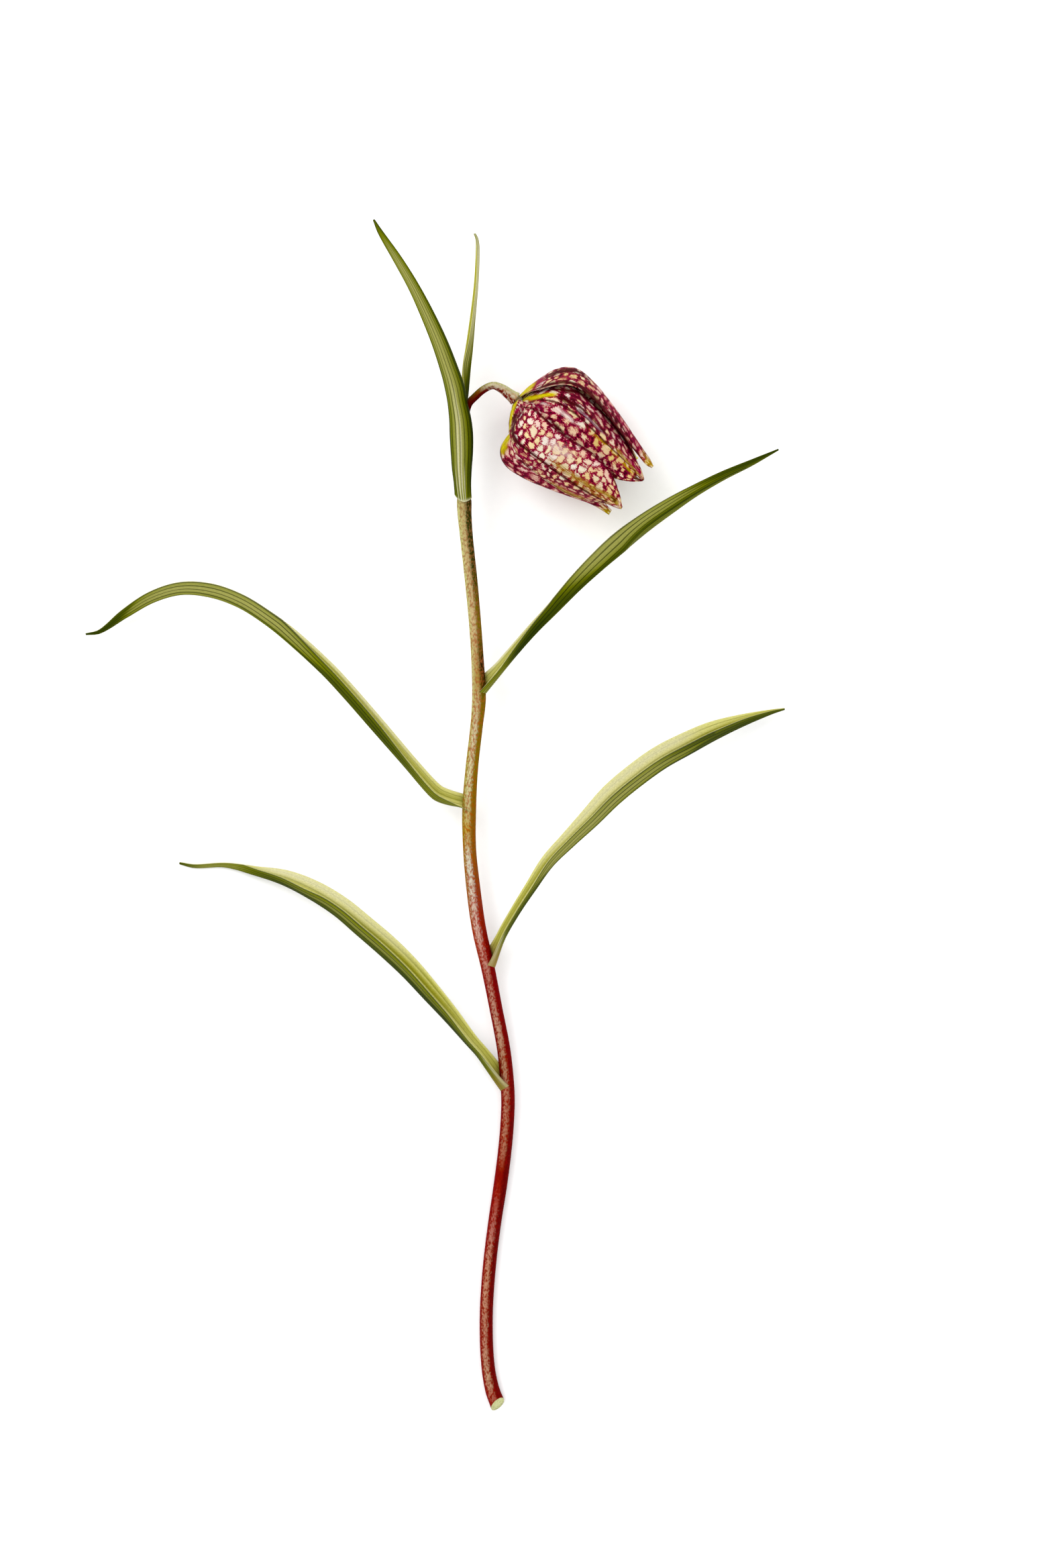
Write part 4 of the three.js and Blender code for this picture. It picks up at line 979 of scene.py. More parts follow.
def blade_grids(leaf, t, s):
    """The outer and the inner face: middle + sideways * level + up * rise, a thickness apart.

    Level and rise are the section, turned by the roll and scaled to the width that is seen.
    """
    path = path_table(leaf["path"])
    fold, roll, arc = np.moveaxis(table(leaf["section"])(t), -1, 0)[..., None]
    centre, _, up_way, across_way = frames_along(path, t)
    sideways = across_way * leaf["side"]
    sine, cosine = np.sin(np.radians(roll)), np.cos(np.radians(roll))
    across, up = section_point(s, fold, arc)
    across_ahead, up_ahead = section_point(s + SECTION_STEP, fold, arc)
    length = np.hypot(across_ahead - across, up_ahead - up)
    out_across, out_up = -(up_ahead - up) / length, (across_ahead - across) / length
    level, rise = up * sine - across * cosine, across * sine + up * cosine
    out_level, out_rise = out_up * sine - out_across * cosine, out_across * sine + out_up * cosine
    low, high = level.min(axis=1, keepdims=True), level.max(axis=1, keepdims=True)
    seen = path(t)[:, 3:4]
    scale = np.maximum(seen - 0.5 * LEAF_THICKNESS, LEAST_HALF_WIDTH) / (high - low)
    shift = (high + low) / 2 * scale
    margin = 1 - LEAF_MARGIN_THINNING * np.abs(s) ** 3
    thick = LEAF_THICKNESS * margin * (1 - LEAF_TIP_THINNING * t[:, None] ** 8)
    faces = []
    for part in (-0.5, 0.5):
        level_by = (level * scale - shift + out_level * part * thick)[..., None]
        rise_by = (rise * scale + out_rise * part * thick)[..., None]
        faces.append(centre[:, None] + sideways[:, None] * level_by + up_way[:, None] * rise_by)
    return faces


def clasp_row(leaf, s, offset):
    """The arc on the stem where the leaf starts: angle = turn + |s| * wrap, y + rise * |s|^1.5."""
    base = leaf["base"]
    half = (s >= 0).astype(int)
    share = np.abs(s)
    t = stem_share_at(base["y"] + np.array(base["rise"])[half] * share**1.5)
    centre, _, up, across = frames_along(stem_path, t)
    angle = np.radians(base["turn"] + share * np.array(base["wrap"])[half])[:, None]
    out = up * np.sin(angle) - across * leaf["side"] * np.cos(angle)
    return centre + out * (base["stem"] + offset)


def clear_of_stem(points, offset):
    """Points nearer to the stem's middle than its skin and the offset are moved straight out."""
    t = stem_share_at(points[..., 1])
    centre, along, _, _ = frames_along(stem_path, t)
    aside = points - centre
    aside = aside - along * (aside * along).sum(axis=-1, keepdims=True)
    distance = np.linalg.norm(aside, axis=-1)
    short = np.where(points[..., 1] > BEND_Y, 0, stem_path(t)[..., 3] + offset - distance)
    return points + unit(aside) * np.maximum(short, 0)[..., None]


def leaf_points(leaf, t, s):
    """Both faces of a leaf: its base lies on the skin of the stem, its underside on the table."""
    grids = blade_grids(leaf, t, s)
    middles = path_table(leaf["path"])(t)[:, :3]
    gone = np.linalg.norm(middles - np.array(leaf["path"][0][:3]), axis=1)
    hold = (1 - smoothstep(gone / leaf["base"]["reach"]))[:, None, None]
    held = []
    for grid, offset, floor in zip(grids, (BASE_ON_SKIN, BASE_UNDER_SKIN), (0.0, INNER_FACE_LIFT)):
        offset = offset + leaf["base"].get("lift", 0.0)
        grid = grid * (1 - hold) + clasp_row(leaf, s, offset)[None] * hold
        held.append(pressed_flat(clear_of_stem(grid, offset), floor))
    return held


leaf_t = np.linspace(0, 1, LEAF_ROWS) ** TOWARDS_BASE
leaf_s = np.linspace(-1, 1, LEAF_COLUMNS)
t_grid, s_grid = np.meshgrid(leaf_t, leaf_s, indexing="ij")
rim = smoothstep((np.abs(s_grid) - (1 - RIM_WIDTH)) / RIM_WIDTH)
rim = rim * np.where(s_grid > 0, RIM_PALENESS[1], RIM_PALENESS[0])
for name, leaf in LEAVES.items():
    outer, inner = leaf_points(leaf, leaf_t, leaf_s)
    paint = LEAF_PAINT[name]
    marks = {mark: stroke_field(t_grid, s_grid, paint.get(mark, [])) for mark in LEAF_MARKS}
    marks["pale"] = np.maximum(rim, marks["pale"])
    marks["inside"] = np.repeat([0.0, 1.0], t_grid.size)
    surface = ((s_grid + 1) / 2, t_grid)
    make_blade(name + "_blade", outer, inner, surface, marks, leaf_material, "leaf", name)

# %% [markdown]
# The tepals are what everybody knows the plant by: cream squares in a net of maroon, in rows that
# stand between each other's gaps like bricks. The net is worked out on a map of columns and rows.
# Noise shakes the map so that no cell is true, and each cell has its own size. Over it lie marks
# that are painted by strokes: painted shade in the folds and under the edges of neighbouring
# tepals, painted highlights, a painted grey sheen, a yellow-green foot and tip, and olive and pink
# washes. Fine strands run along the tepal everywhere. Their runs are counted per mm across
# and along it, those of the net per column and row.

# %% Tepal skin
CELL_SQUARENESS = 3.0
ROW_OFFSET = 0.5
WIDE_SHAKE, FINE_SHAKE = (1.3, 1.3, 0.0), (0.5, 0.5, 0.0)
TEPAL_STRANDS = (5.0, 0.5, 1)
TEPAL_SPECKLE = 3.2
CELL_SIZE, CELL_SPREAD, CELL_SHRINKS = 0.38, 0.15, 0.14  # in columns; a full net shrinks cells
STROKED_MARKS = ("net", "pink", "tan", "rose", "pale", "painted_sheen", "olive", "green", "dark")
EDGE_MARKS = ("rim", "line")
# The pale wash is a painted highlight and the grey-lilac wash a painted sheen; the dark wash is
# painted shade in the folds and under the edges of neighbouring tepals, with deep maroon at the
# foot.
WASHES = (  # mark, colour, colour of its strands, how much of them shows
    ("rose", "#aa3458", "#6c0624", 0.85),
    ("pale", "#fff4ea", "#c87080", 0.6),
    ("painted_sheen", "#a48894", "#581828", 0.9),
    ("olive", "#beae62", "#7c1820", 0.95),
    ("green", "#e8e05c", "#a87430", 0.75),
    ("dark", "#54000c", "#1c0002", 0.85),
)


def tepal_skin():
    """Chequered maroon and cream with washes of colour and of painted light and shade; it makes
    the flower known.
    """
    material, add = new_material("tepal skin")
    cell_map = add("UVMap", uv_map="surface")
    marks = {
        mark: add("Attribute", out="Fac", attribute_name=mark)
        for mark in ("across", "along", *STROKED_MARKS, *EDGE_MARKS)
    }

    strand_at = add("CombineXYZ", (marks["across"], marks["along"]))
    strand_map = add("Mapping", {"Vector": strand_at, "Scale": TEPAL_STRANDS})
    strand = add("TexNoise", {
        "Vector": strand_map, "Scale": 1.0, "Detail": 4.0, "Roughness": 0.65,
    })
    speckle = add("TexNoise", {"Vector": strand_at, "Scale": TEPAL_SPECKLE, "Detail": 3.0})

    # A wide and a fine noise shake the map, so that no cell is true.
    shaken = cell_map
    for shake, fineness in (
        (WIDE_SHAKE, {"Scale": 0.8, "Detail": 1.0}),
        (FINE_SHAKE, {"Scale": 4.0, "Detail": 3.0, "Roughness": 0.7}),
    ):
        noise = add("TexNoise", {"Vector": cell_map, **fineness}, out="Color")
        noise = add("VectorMath", (noise, (0.5, 0.5, 0.5)), operation="SUBTRACT")
        shaken = add("VectorMath", (noise, shake, shaken), operation="MULTIPLY_ADD")
    x, y = add("SeparateXYZ", (shaken,)).node.outputs[:2]

    # Every second row is shifted by half a column, and each cell draws its own three chances.
    row = add("FLOOR", (y,))
    shift = add("MULTIPLY", (row, ROW_OFFSET))
    shift = add("FRACT", (shift,))
    x = add("ADD", (x, shift))
    column = add("FLOOR", (x,))
    own = add("CombineXYZ", (column, row))
    chance, chances = add("TexWhiteNoise", (own,), noise_dimensions="2D").node.outputs
    chance_two, chance_three = add("SeparateXYZ", (chances,)).node.outputs[1:]

    # How far a point is from the middle of its cell, measured as in a square with soft corners.
    from_middle = []
    for value in (x, y):
        aside = add("FRACT", (value,))
        aside = add("SUBTRACT", (aside, 0.5))
        aside = add("ABSOLUTE", (aside,))
        from_middle.append(add("POWER", (aside, CELL_SQUARENESS)))
    roundness = add("ADD", from_middle)
    roundness = add("POWER", (roundness, 1 / CELL_SQUARENESS))
    size = add("MULTIPLY_ADD", (chance, CELL_SPREAD, CELL_SIZE))
    size = add("MULTIPLY_ADD", (marks["net"], -CELL_SHRINKS, size))

    # Above 0 the edge is inside the cell. Noise, strands and speckles tear it.
    edge = add("SUBTRACT", (size, roundness))
    ragged = add("TexNoise", {
        "Vector": cell_map, "Scale": 2.4, "Detail": 4.0, "Roughness": 0.8,
    })
    ragged = add("MULTIPLY_ADD", (ragged, 0.85, -0.42))
    edge = add("ADD", (edge, ragged))
    torn_net = add("MULTIPLY_ADD", (strand, 0.7, -0.35))
    edge = add("ADD", (edge, torn_net))
    edge = add("MULTIPLY_ADD", (speckle, 0.5, edge))
    edge = add("SUBTRACT", (edge, 0.25))

    # Inside a cell: white to cream, some yellow, some pink, with rusty smudges.
    creamy = add("MapRange", (chance_two, 0.15, 0.6))
    inside_cell = add("Mix", (creamy, "#fffdf0", "#faeabc"))
    yellow = add("MapRange", (chance_three, 0.65, 1.0, 0.0, 0.25))
    yellow = add("ADD", (yellow, marks["tan"]), use_clamp=True)
    inside_cell = add("Mix", (yellow, inside_cell, "#e4cc88"))
    warm = add("MapRange", (chance, 0.4, 1.0, 0.0, 0.3))
    warm = add("MULTIPLY_ADD", (marks["pink"], 0.8, warm), use_clamp=True)
    inside_cell = add("Mix", (warm, inside_cell, "#f4c4ba"))
    smudge = add("MapRange", (speckle, 0.5, 0.7, 0.0, 0.42))
    smudge = add("MULTIPLY", (smudge, chance_three))
    inside_cell = add("Mix", (smudge, inside_cell, "#cc8c70"))

    # The net is dark with brighter strands, fainter at its loose end, deepest far from the cells.
    bright = add("MapRange", (strand, 0.42, 0.68))
    net = add("Mix", (bright, "#300002", "#a00c3c"))
    faint = add("MULTIPLY_ADD", (marks["net"], -0.45, 0.45))
    net = add("Mix", (faint, net, "#a43a50"))
    deep = add("MapRange", (edge, -0.14, -0.3, 0.0, 0.8))
    net = add("Mix", (deep, net, "#1c0000"))
    cell = add("MapRange", (edge, -0.02, 0.13), interpolation_type="SMOOTHSTEP")
    halo = add("MapRange", (edge, -0.16, -0.04, 0.0, 0.85))
    skin = add("Mix", (halo, net, "#b01848"))
    skin = add("Mix", (cell, skin, inside_cell))

    # Washes lie over both and are torn by the strands. The pale and grey-lilac washes are a painted
    # highlight and sheen, and the dark one painted shade with deep maroon at the foot. The edge of
    # the tepal comes last.
    dark_strand = add("MapRange", (strand, 0.52, 0.42))
    streaky = add("MULTIPLY_ADD", (strand, 3.0, -1.5))
    for mark, colour, strand_colour, share in WASHES:
        some = add("MULTIPLY", (dark_strand, share))
        wash = add("Mix", (some, colour, strand_colour))
        torn = add("SUBTRACT", (marks[mark], streaky))
        cover = add("MapRange", (torn, 0.25, 0.6), interpolation_type="SMOOTHSTEP")
        cover = add("MULTIPLY", (cover, marks[mark]))
        skin = add("Mix", (cover, skin, wash))
    skin = add("Mix", (marks["rim"], skin, "#e3c4c4"))
    skin = add("Mix", (marks["line"], skin, "#480008"))
    relief = add("MULTIPLY_ADD", (strand, 0.7, cell))
    skin = add("HueSaturation", {"Saturation": 1.2, "Color": skin})
    finish_skin(add, skin, relief, strength=0.2, depth=0.2, roughness=0.5)
    return material


tepal_material = tepal_skin()

# %% [markdown]
# Every tepal has its number of columns, the rows reached along its length and its own strokes:
# share of the length, place across from -1 to 1, half width and strength. The tepal that faces
# the viewer has a fold left of its middle that runs nearly its whole length, painted dark as
# shade; the folds stand out as low ridges too. Dark strokes also paint the shadow that an outer
# tepal's edge casts beside it, and pale strokes paint highlights.

# %% What is painted on each tepal
TEPAL_PAINT = {}
TEPAL_PAINT["tepal_outer_front"] = dict(
    columns=7.4, rows=[(0, 0), (0.1, 2), (0.3, 6), (0.6, 13), (1, 21)], rim=0.0,
    net=[
        [(0, 0, 2, 1), (0.15, -0.2, 1.5, 1), (0.25, -0.4, 0.8, 1), (0.35, -0.55, 0.5, 1),
         (0.9, -0.55, 0.5, 1)],
        [(0.12, 1, 0.4, 1), (0.4, 1, 0.25, 0.9), (0.9, 1, 0.3, 0.9)],
        [(0.55, 0, 0.8, 0), (0.8, 0, 1, 0.6), (1, 0, 1, 0.9)],
    ],
    pink=[
        [(0.1, 0.9, 0.4, 0.6), (0.9, 0.95, 0.25, 0.6)],
        [(0.5, -0.7, 0.3, 0), (0.7, -0.7, 0.3, 0.6), (0.8, -0.7, 0.3, 0)],
    ],
    tan=[
        [(0.3, -0.6, 0.3, 0), (0.5, -0.6, 0.35, 0.3), (0.9, -0.5, 0.4, 0.5)],
        [(0.5, -0.1, 0.3, 0), (0.7, 0, 0.4, 0.5), (0.95, 0.2, 0.7, 0.7)],
    ],
    rose=[
        [(0.06, 0.3, 0.9, 0), (0.09, 0.2, 0.9, 0.9), (0.14, 0.4, 0.8, 0.6), (0.2, 0.6, 0.5, 0)],
        [(0.22, -0.5, 0.3, 0), (0.3, -0.55, 0.3, 0.6), (0.5, -0.6, 0.3, 0.5), (0.6, -0.6, 0.3, 0)],
        [(0.2, 0.95, 0.1, 0), (0.3, 0.95, 0.09, 0.5), (0.9, 0.95, 0.09, 0.5)],
        [(0.55, -0.8, 0.2, 0), (0.65, -0.75, 0.2, 0.7), (0.85, -0.7, 0.3, 0.6)],
    ],
    green=[
        [(0, -0.1, 1.6, 1), (0.05, -0.5, 0.8, 1), (0.1, -0.8, 0.42, 1), (0.17, -0.85, 0.3, 0.8),
         (0.22, -0.7, 0.25, 0)],
        [(0.95, 0.1, 0.3, 0), (0.98, 0.1, 0.4, 0.5), (1, 0, 1, 0.6)],
    ],
    # Dark strokes paint shade in the fold left of the middle and along the right margin, where the
    # inner tepal meets it.
    dark=[
        [(0.08, -0.3, 0.2, 0), (0.11, -0.25, 0.5, 1), (0.17, -0.25, 0.4, 0.95),
         (0.22, -0.3, 0.25, 1), (0.27, -0.32, 0.2, 1), (0.33, -0.24, 0.1, 1),
         (0.38, -0.19, 0.085, 1), (0.6, -0.17, 0.075, 1), (0.9, -0.18, 0.07, 1),
         (0.96, -0.16, 0.1, 0)],
        [(0.08, 0.3, 0.1, 0), (0.12, 0.3, 0.4, 0.7), (0.19, 0.35, 0.3, 0.55), (0.24, 0.3, 0.2, 0)],
        [(0.2, -0.5, 0.05, 0), (0.26, -0.42, 0.08, 1), (0.3, -0.4, 0.08, 0.9),
         (0.42, -0.45, 0.03, 0)],
        [(0.1, 0.1, 0.03, 0), (0.16, 0.1, 0.05, 0.8), (0.24, 0.1, 0.04, 0.8),
         (0.28, 0.12, 0.03, 0)],
        [(0.06, 0.6, 0.2, 0), (0.12, 0.65, 0.1, 0.9), (0.2, 0.8, 0.06, 0.9),
         (0.35, 0.97, 0.06, 0.9), (0.9, 0.97, 0.05, 0.8)],
        [(0.84, -0.6, 0.3, 0), (0.9, -0.5, 0.3, 0.7), (0.94, -0.4, 0.3, 0)],
        [(0.86, 0.25, 0.1, 0), (0.92, 0.3, 0.2, 0.7), (0.945, 0.3, 0.4, 0.8), (0.955, 0.3, 0.4, 0)],
    ],
    # Pale strokes are painted highlights.
    pale=[
        [(0.08, 0.35, 0.2, 0), (0.11, 0.4, 0.1, 0.8), (0.15, 0.35, 0.06, 0.7),
         (0.19, 0.3, 0.05, 0)],
        [(0.36, 0.4, 0.15, 0), (0.44, 0.45, 0.25, 0.55), (0.56, 0.5, 0.25, 0.55),
         (0.64, 0.5, 0.15, 0)],
    ],
    olive=[
        [(0.44, 0.0, 0.1, 0), (0.5, 0.02, 0.16, 0.6), (0.66, 0.04, 0.16, 0.75),
         (0.8, 0.1, 0.14, 0.8), (0.9, 0.25, 0.16, 0.9), (0.97, 0.3, 0.4, 1)],
        [(0.56, -0.15, 0.08, 0), (0.7, -0.12, 0.12, 0.6), (0.9, -0.05, 0.2, 0.6)],
        [(0.52, -0.95, 0.2, 0), (0.6, -0.95, 0.25, 0.7), (0.8, -0.9, 0.3, 0.7),
         (0.86, -0.9, 0.3, 0)],
    ],
    ridges=[
        [(0.1, -0.18, 0.1, 0), (0.3, -0.18, 0.12, 0.5), (0.85, -0.18, 0.12, 0.5),
         (1, -0.18, 0.1, 0)],
    ],
)
TEPAL_PAINT["tepal_inner_front"] = dict(
    columns=6.2,
    rows=[(0, 0), (0.12, 1), (0.3, 2.6), (0.6, 6.6), (0.75, 9), (1, 14)],
    rim=0.0,
    net=[
        [(0, 0, 2, 1), (0.2, 0, 1.5, 1), (0.4, 0.5, 0.9, 1), (1, 0.5, 0.9, 1)],
        [(0.3, -0.5, 0.6, 0.6), (0.55, -0.6, 0.6, 0.8), (0.85, -0.6, 0.6, 0.9), (1, 0, 2, 1)],
    ],
    pink=[
        [(0.2, -0.6, 0.5, 0.8), (0.4, -0.6, 0.4, 0.5), (0.6, -0.7, 0.3, 0.5), (0.8, -0.6, 0.3, 0)],
        [(0.35, 0.7, 0.3, 0.7), (0.9, 0.7, 0.4, 0.8)],
        [(0.62, 0.35, 0.3, 0), (0.72, 0.35, 0.3, 0.6), (0.95, 0.3, 0.3, 0.6)],
    ],
    tan=[
        [(0.5, -0.3, 0.2, 0), (0.58, -0.3, 0.25, 0.6), (0.8, -0.25, 0.3, 0.8),
         (0.95, -0.3, 0.5, 0.8)],
    ],
    rose=[
        [(0.14, -0.3, 0.3, 0), (0.2, -0.4, 0.3, 0.6), (0.3, -0.5, 0.3, 0.4), (0.36, -0.6, 0.2, 0)],
        [(0.3, -0.3, 0.05, 0), (0.4, -0.28, 0.06, 0.8), (0.55, -0.3, 0.05, 0)],
        [(0.36, 0.9, 0.3, 0), (0.42, 0.85, 0.3, 0.5), (0.6, 0.7, 0.25, 0.4), (0.9, 0.7, 0.25, 0.5)],
        [(0.75, 0.3, 0.2, 0), (0.85, 0.25, 0.25, 0.7), (0.97, 0.4, 0.6, 0.9)],
    ],
    green=[
        [(0, 0, 1.5, 1), (0.05, 0.3, 0.5, 1), (0.1, 0.12, 0.34, 1), (0.2, 0.02, 0.18, 1),
         (0.28, 0.1, 0.14, 1), (0.33, 0.12, 0.1, 0)],
        [(0.52, -0.2, 0.05, 0), (0.62, -0.17, 0.08, 0.5), (0.8, -0.08, 0.1, 0.55),
         (0.92, -0.2, 0.12, 0.6), (0.98, -0.5, 0.3, 0.4)],
    ],
    # Dark strokes paint shade in the folds; the fourth is the painted shadow under the edge of the
    # outer side tepal.
    dark=[
        [(0.17, -0.17, 0.03, 0), (0.24, -0.19, 0.05, 0.9), (0.4, -0.15, 0.05, 1),
         (0.7, -0.08, 0.04, 1), (0.85, 0, 0.04, 0.9), (0.95, -0.1, 0.04, 0)],
        [(0.3, 0.05, 0.1, 0), (0.34, 0.08, 0.16, 1), (0.4, 0.12, 0.18, 1), (0.46, 0.22, 0.1, 1),
         (0.55, 0.2, 0.06, 0.9), (0.68, 0.2, 0.05, 0.9), (0.74, 0.18, 0.04, 0)],
        [(0.3, 0, 0.04, 0), (0.4, 0, 0.05, 0.8), (0.6, 0.04, 0.04, 0.7), (0.7, 0.08, 0.03, 0)],
        [(0.18, 0.35, 0.05, 0), (0.24, 0.4, 0.14, 1), (0.32, 0.5, 0.2, 1), (0.37, 0.7, 0.22, 1),
         (0.42, 0.95, 0.2, 1), (0.6, 1.02, 0.14, 1), (0.9, 1.02, 0.14, 1)],
        [(0.3, -0.75, 0.05, 0), (0.36, -0.8, 0.08, 0.8), (0.5, -0.95, 0.1, 0.8),
         (0.8, -0.75, 0.14, 1), (0.88, -0.9, 0.2, 1)],
        [(0.88, 0.1, 0.1, 0), (0.93, 0, 0.2, 0.8), (0.96, -0.4, 0.3, 0.9), (1, -0.6, 0.5, 0.8)],
    ],
    # Pale strokes are painted highlights.
    pale=[
        [(0.2, -0.3, 0.06, 0), (0.26, -0.32, 0.07, 0.8), (0.32, -0.35, 0.05, 0.3),
         (0.38, -0.36, 0.09, 0.8), (0.47, -0.38, 0.09, 0.8), (0.5, -0.4, 0.06, 0)],
        [(0.1, -0.4, 0.1, 0), (0.16, -0.4, 0.1, 0.8), (0.2, -0.4, 0.06, 0)],
    ],
    olive=[[(0.72, 0.15, 0.1, 0), (0.8, 0.1, 0.16, 0.8), (0.92, 0.1, 0.2, 0.8), (1, 0, 0.5, 0.6)]],
    # A painted sheen in grey-lilac beside the midrib.
    painted_sheen=[
        [(0.42, 0.07, 0.05, 0), (0.47, 0.07, 0.08, 1), (0.6, 0.1, 0.09, 1), (0.72, 0.13, 0.07, 0)],
        [(0.33, -0.08, 0.03, 0), (0.37, -0.08, 0.05, 0.8), (0.42, -0.07, 0.03, 0)],
    ],
    ridges=[
        [(0.1, -0.15, 0.1, 0), (0.3, -0.15, 0.14, 0.5), (0.85, -0.05, 0.12, 0.5), (1, 0, 0.1, 0)],
        [(0.2, 0.35, 0.1, 0), (0.35, 0.35, 0.14, 0.5), (0.7, 0.32, 0.12, 0.4), (0.85, 0.3, 0.1, 0)],
    ],
)
TEPAL_PAINT["tepal_outer_side"] = dict(
    columns=6.2,
    rows=[(0, 0), (0.15, 1.4), (0.3, 4.6), (0.6, 10.5), (1, 18.5)],
    rim=0.4,
    net=[
        [(0, 0, 2, 1), (0.15, 0, 1.5, 1), (0.2, -0.4, 1, 0.8), (0.4, -0.4, 1, 0.9),
         (0.5, -0.6, 1, 1), (1, 0, 2, 1)],
        [(0.15, 0, 0.5, 1), (0.5, 0, 0.4, 1)],
    ],
    pink=[
        [(0.08, -0.4, 0.8, 0.9), (0.17, -0.4, 0.8, 0)],
        [(0.45, -0.4, 0.4, 0), (0.55, -0.3, 0.4, 1), (0.9, -0.1, 0.5, 1)],
    ],
    tan=[
        [(0.18, -0.6, 0.6, 0), (0.24, -0.6, 0.6, 0.4), (0.36, -0.5, 0.4, 0.4),
         (0.42, -0.5, 0.3, 0)],
    ],
    rose=[
        [(0.07, 0, 1.2, 0), (0.12, 0, 1.2, 0.9), (0.18, -0.4, 0.6, 0.6), (0.22, -0.4, 0.4, 0)],
        [(0.42, -0.2, 0.2, 0), (0.52, -0.35, 0.2, 0.5), (0.7, -0.2, 0.3, 0.6),
         (0.88, 0.0, 0.4, 0.6)],
        [(0.2, -0.9, 0.1, 0), (0.26, -0.8, 0.2, 0.6), (0.4, -0.75, 0.14, 0.6),
         (0.5, -0.6, 0.14, 0.5), (0.6, -0.5, 0.1, 0)],
    ],
    green=[
        [(0, 0, 2.5, 1), (0.05, 0, 2.5, 1), (0.09, 0, 2, 0.8), (0.13, 0, 2, 0)],
        [(0.89, 0, 1, 0), (0.94, 0, 1, 0.5), (1, 0, 2, 0.6)],
    ],
    dark=[
        [(0.1, -1, 0.1, 0), (0.18, -1.05, 0.2, 0.9), (0.36, -1.05, 0.14, 1),
         (0.45, -0.98, 0.24, 1), (0.55, -0.88, 0.28, 1), (0.7, -0.66, 0.24, 1),
         (0.86, -0.48, 0.2, 1), (0.92, -0.4, 0.1, 0)],
        [(0.13, -0.2, 0.1, 0), (0.2, -0.15, 0.3, 0.9), (0.3, -0.2, 0.25, 1),
         (0.38, -0.2, 0.15, 0.8), (0.45, -0.2, 0.1, 0)],
        [(0.5, -0.55, 0.04, 0), (0.6, -0.45, 0.05, 0.9), (0.8, -0.3, 0.06, 0.9),
         (0.9, -0.2, 0.05, 0)],
    ],
    pale=[
        [(0.36, -0.15, 0.1, 0), (0.4, -0.2, 0.1, 0.6), (0.46, -0.3, 0.08, 0.6),
         (0.52, -0.3, 0.05, 0)],
    ],
    olive=[[(0.86, -0.2, 0.4, 0), (0.9, -0.1, 0.6, 0.5), (0.94, 0, 1, 0.5), (1, 0, 2, 0.5)]],
)
TEPAL_PAINT["tepal_inner_side"] = dict(
    columns=6.2, rows=[(0, 0), (0.15, 1.4), (0.3, 3.4), (1, 13.5)], rim=0.0,
    net=[[(0, 0, 2, 1), (0.2, 0, 1.5, 1), (1, 0, 1.5, 1)]],
    pink=[[(0.1, 0.4, 1, 0.8), (0.9, 0.4, 1, 0.8)]],
    rose=[
        [(0.3, 0.4, 0.1, 0), (0.4, 0.5, 0.2, 0.4), (0.6, 0.4, 0.2, 0.5), (0.9, 0.2, 0.3, 0.5)],
        [(0.35, 1, 0.2, 0), (0.45, 0.95, 0.2, 0.5), (0.6, 0.6, 0.15, 0.5), (0.8, 0.3, 0.2, 0.4)],
    ],
    green=[
        [(0, 0, 2.5, 1), (0.08, 0.2, 1.2, 1), (0.2, 0.3, 0.5, 1), (0.27, 0.35, 0.36, 0.9),
         (0.32, 0.3, 0.2, 0)],
        [(0.9, 0, 0.6, 0), (0.95, 0, 1, 0.5), (1, 0, 2, 0.7)],
    ],
    dark=[
        [(0.2, 0.1, 0.1, 0), (0.27, 0.12, 0.1, 0.9), (0.33, 0.1, 0.14, 1), (0.4, 0.1, 0.08, 0.9),
         (0.5, 0.1, 0.05, 0)],
        [(0.22, 0.5, 0.05, 0), (0.27, 0.5, 0.05, 0.7), (0.34, 0.45, 0.04, 0.8),
         (0.5, 0.42, 0.03, 0.6), (0.6, 0.4, 0.03, 0)],
        [(0.86, 0.2, 0.2, 0), (0.9, 0.2, 0.2, 0.8), (0.94, 0.2, 0.2, 0)],
        [(0.3, 1.1, 0.05, 0), (0.4, 1.1, 0.08, 0.9), (0.5, 0.85, 0.06, 0.9), (0.6, 0.6, 0.06, 0.8),
         (0.7, 0.4, 0.06, 0)],
    ],
)
PLAIN_PAINT = dict(
    columns=6.8, rows=[(0, 0), (0.15, 1.6), (0.3, 4), (1, 18)], rim=0.2,
    net=[[(0, 0, 2, 1), (0.2, 0, 1.5, 0.8), (1, 0, 1, 0.7)]],
    pink=[[(0.1, 0, 1.5, 0.5), (0.9, 0, 1.5, 0.5)]],
    rose=[[(0.1, 0.6, 0.3, 0.6), (0.9, 0.6, 0.3, 0.6)]],
    green=[
        [(0, 0, 2.5, 1), (0.06, 0, 1.5, 0.9), (0.14, 0, 0.5, 0)],
        [(0.92, 0, 0.6, 0), (0.96, 0, 1, 0.8), (1, 0, 2, 1)],
    ],
    dark=[[(0.06, 0, 0.06, 0), (0.2, 0, 0.07, 0.8), (0.6, 0, 0.05, 0.7), (0.9, 0, 0.04, 0)]],
)

# %% [markdown]
# The two faces of a tepal come from the same formula at two depths under the bell's skin. The
# middle keeps the thickness of the solid and the margin is drawn out thin.

# %% Six tepals
RIDGE_HEIGHT = 0.5
TEPAL_ROWS = 150
TEPAL_COLUMNS = 61
TEPAL_MARGIN_THINNING = 0.75
EDGE_SOFTNESS = 0.03
RIM_FROM = 0.955
RIM_LENGTH, RIM_FADE = 0.28, 0.1  # the light rim ends below the middle
LINE_FROM, LINE_TO = 0.9, 0.95  # a dark line runs beside it
LINE_STRENGTH = 0.85

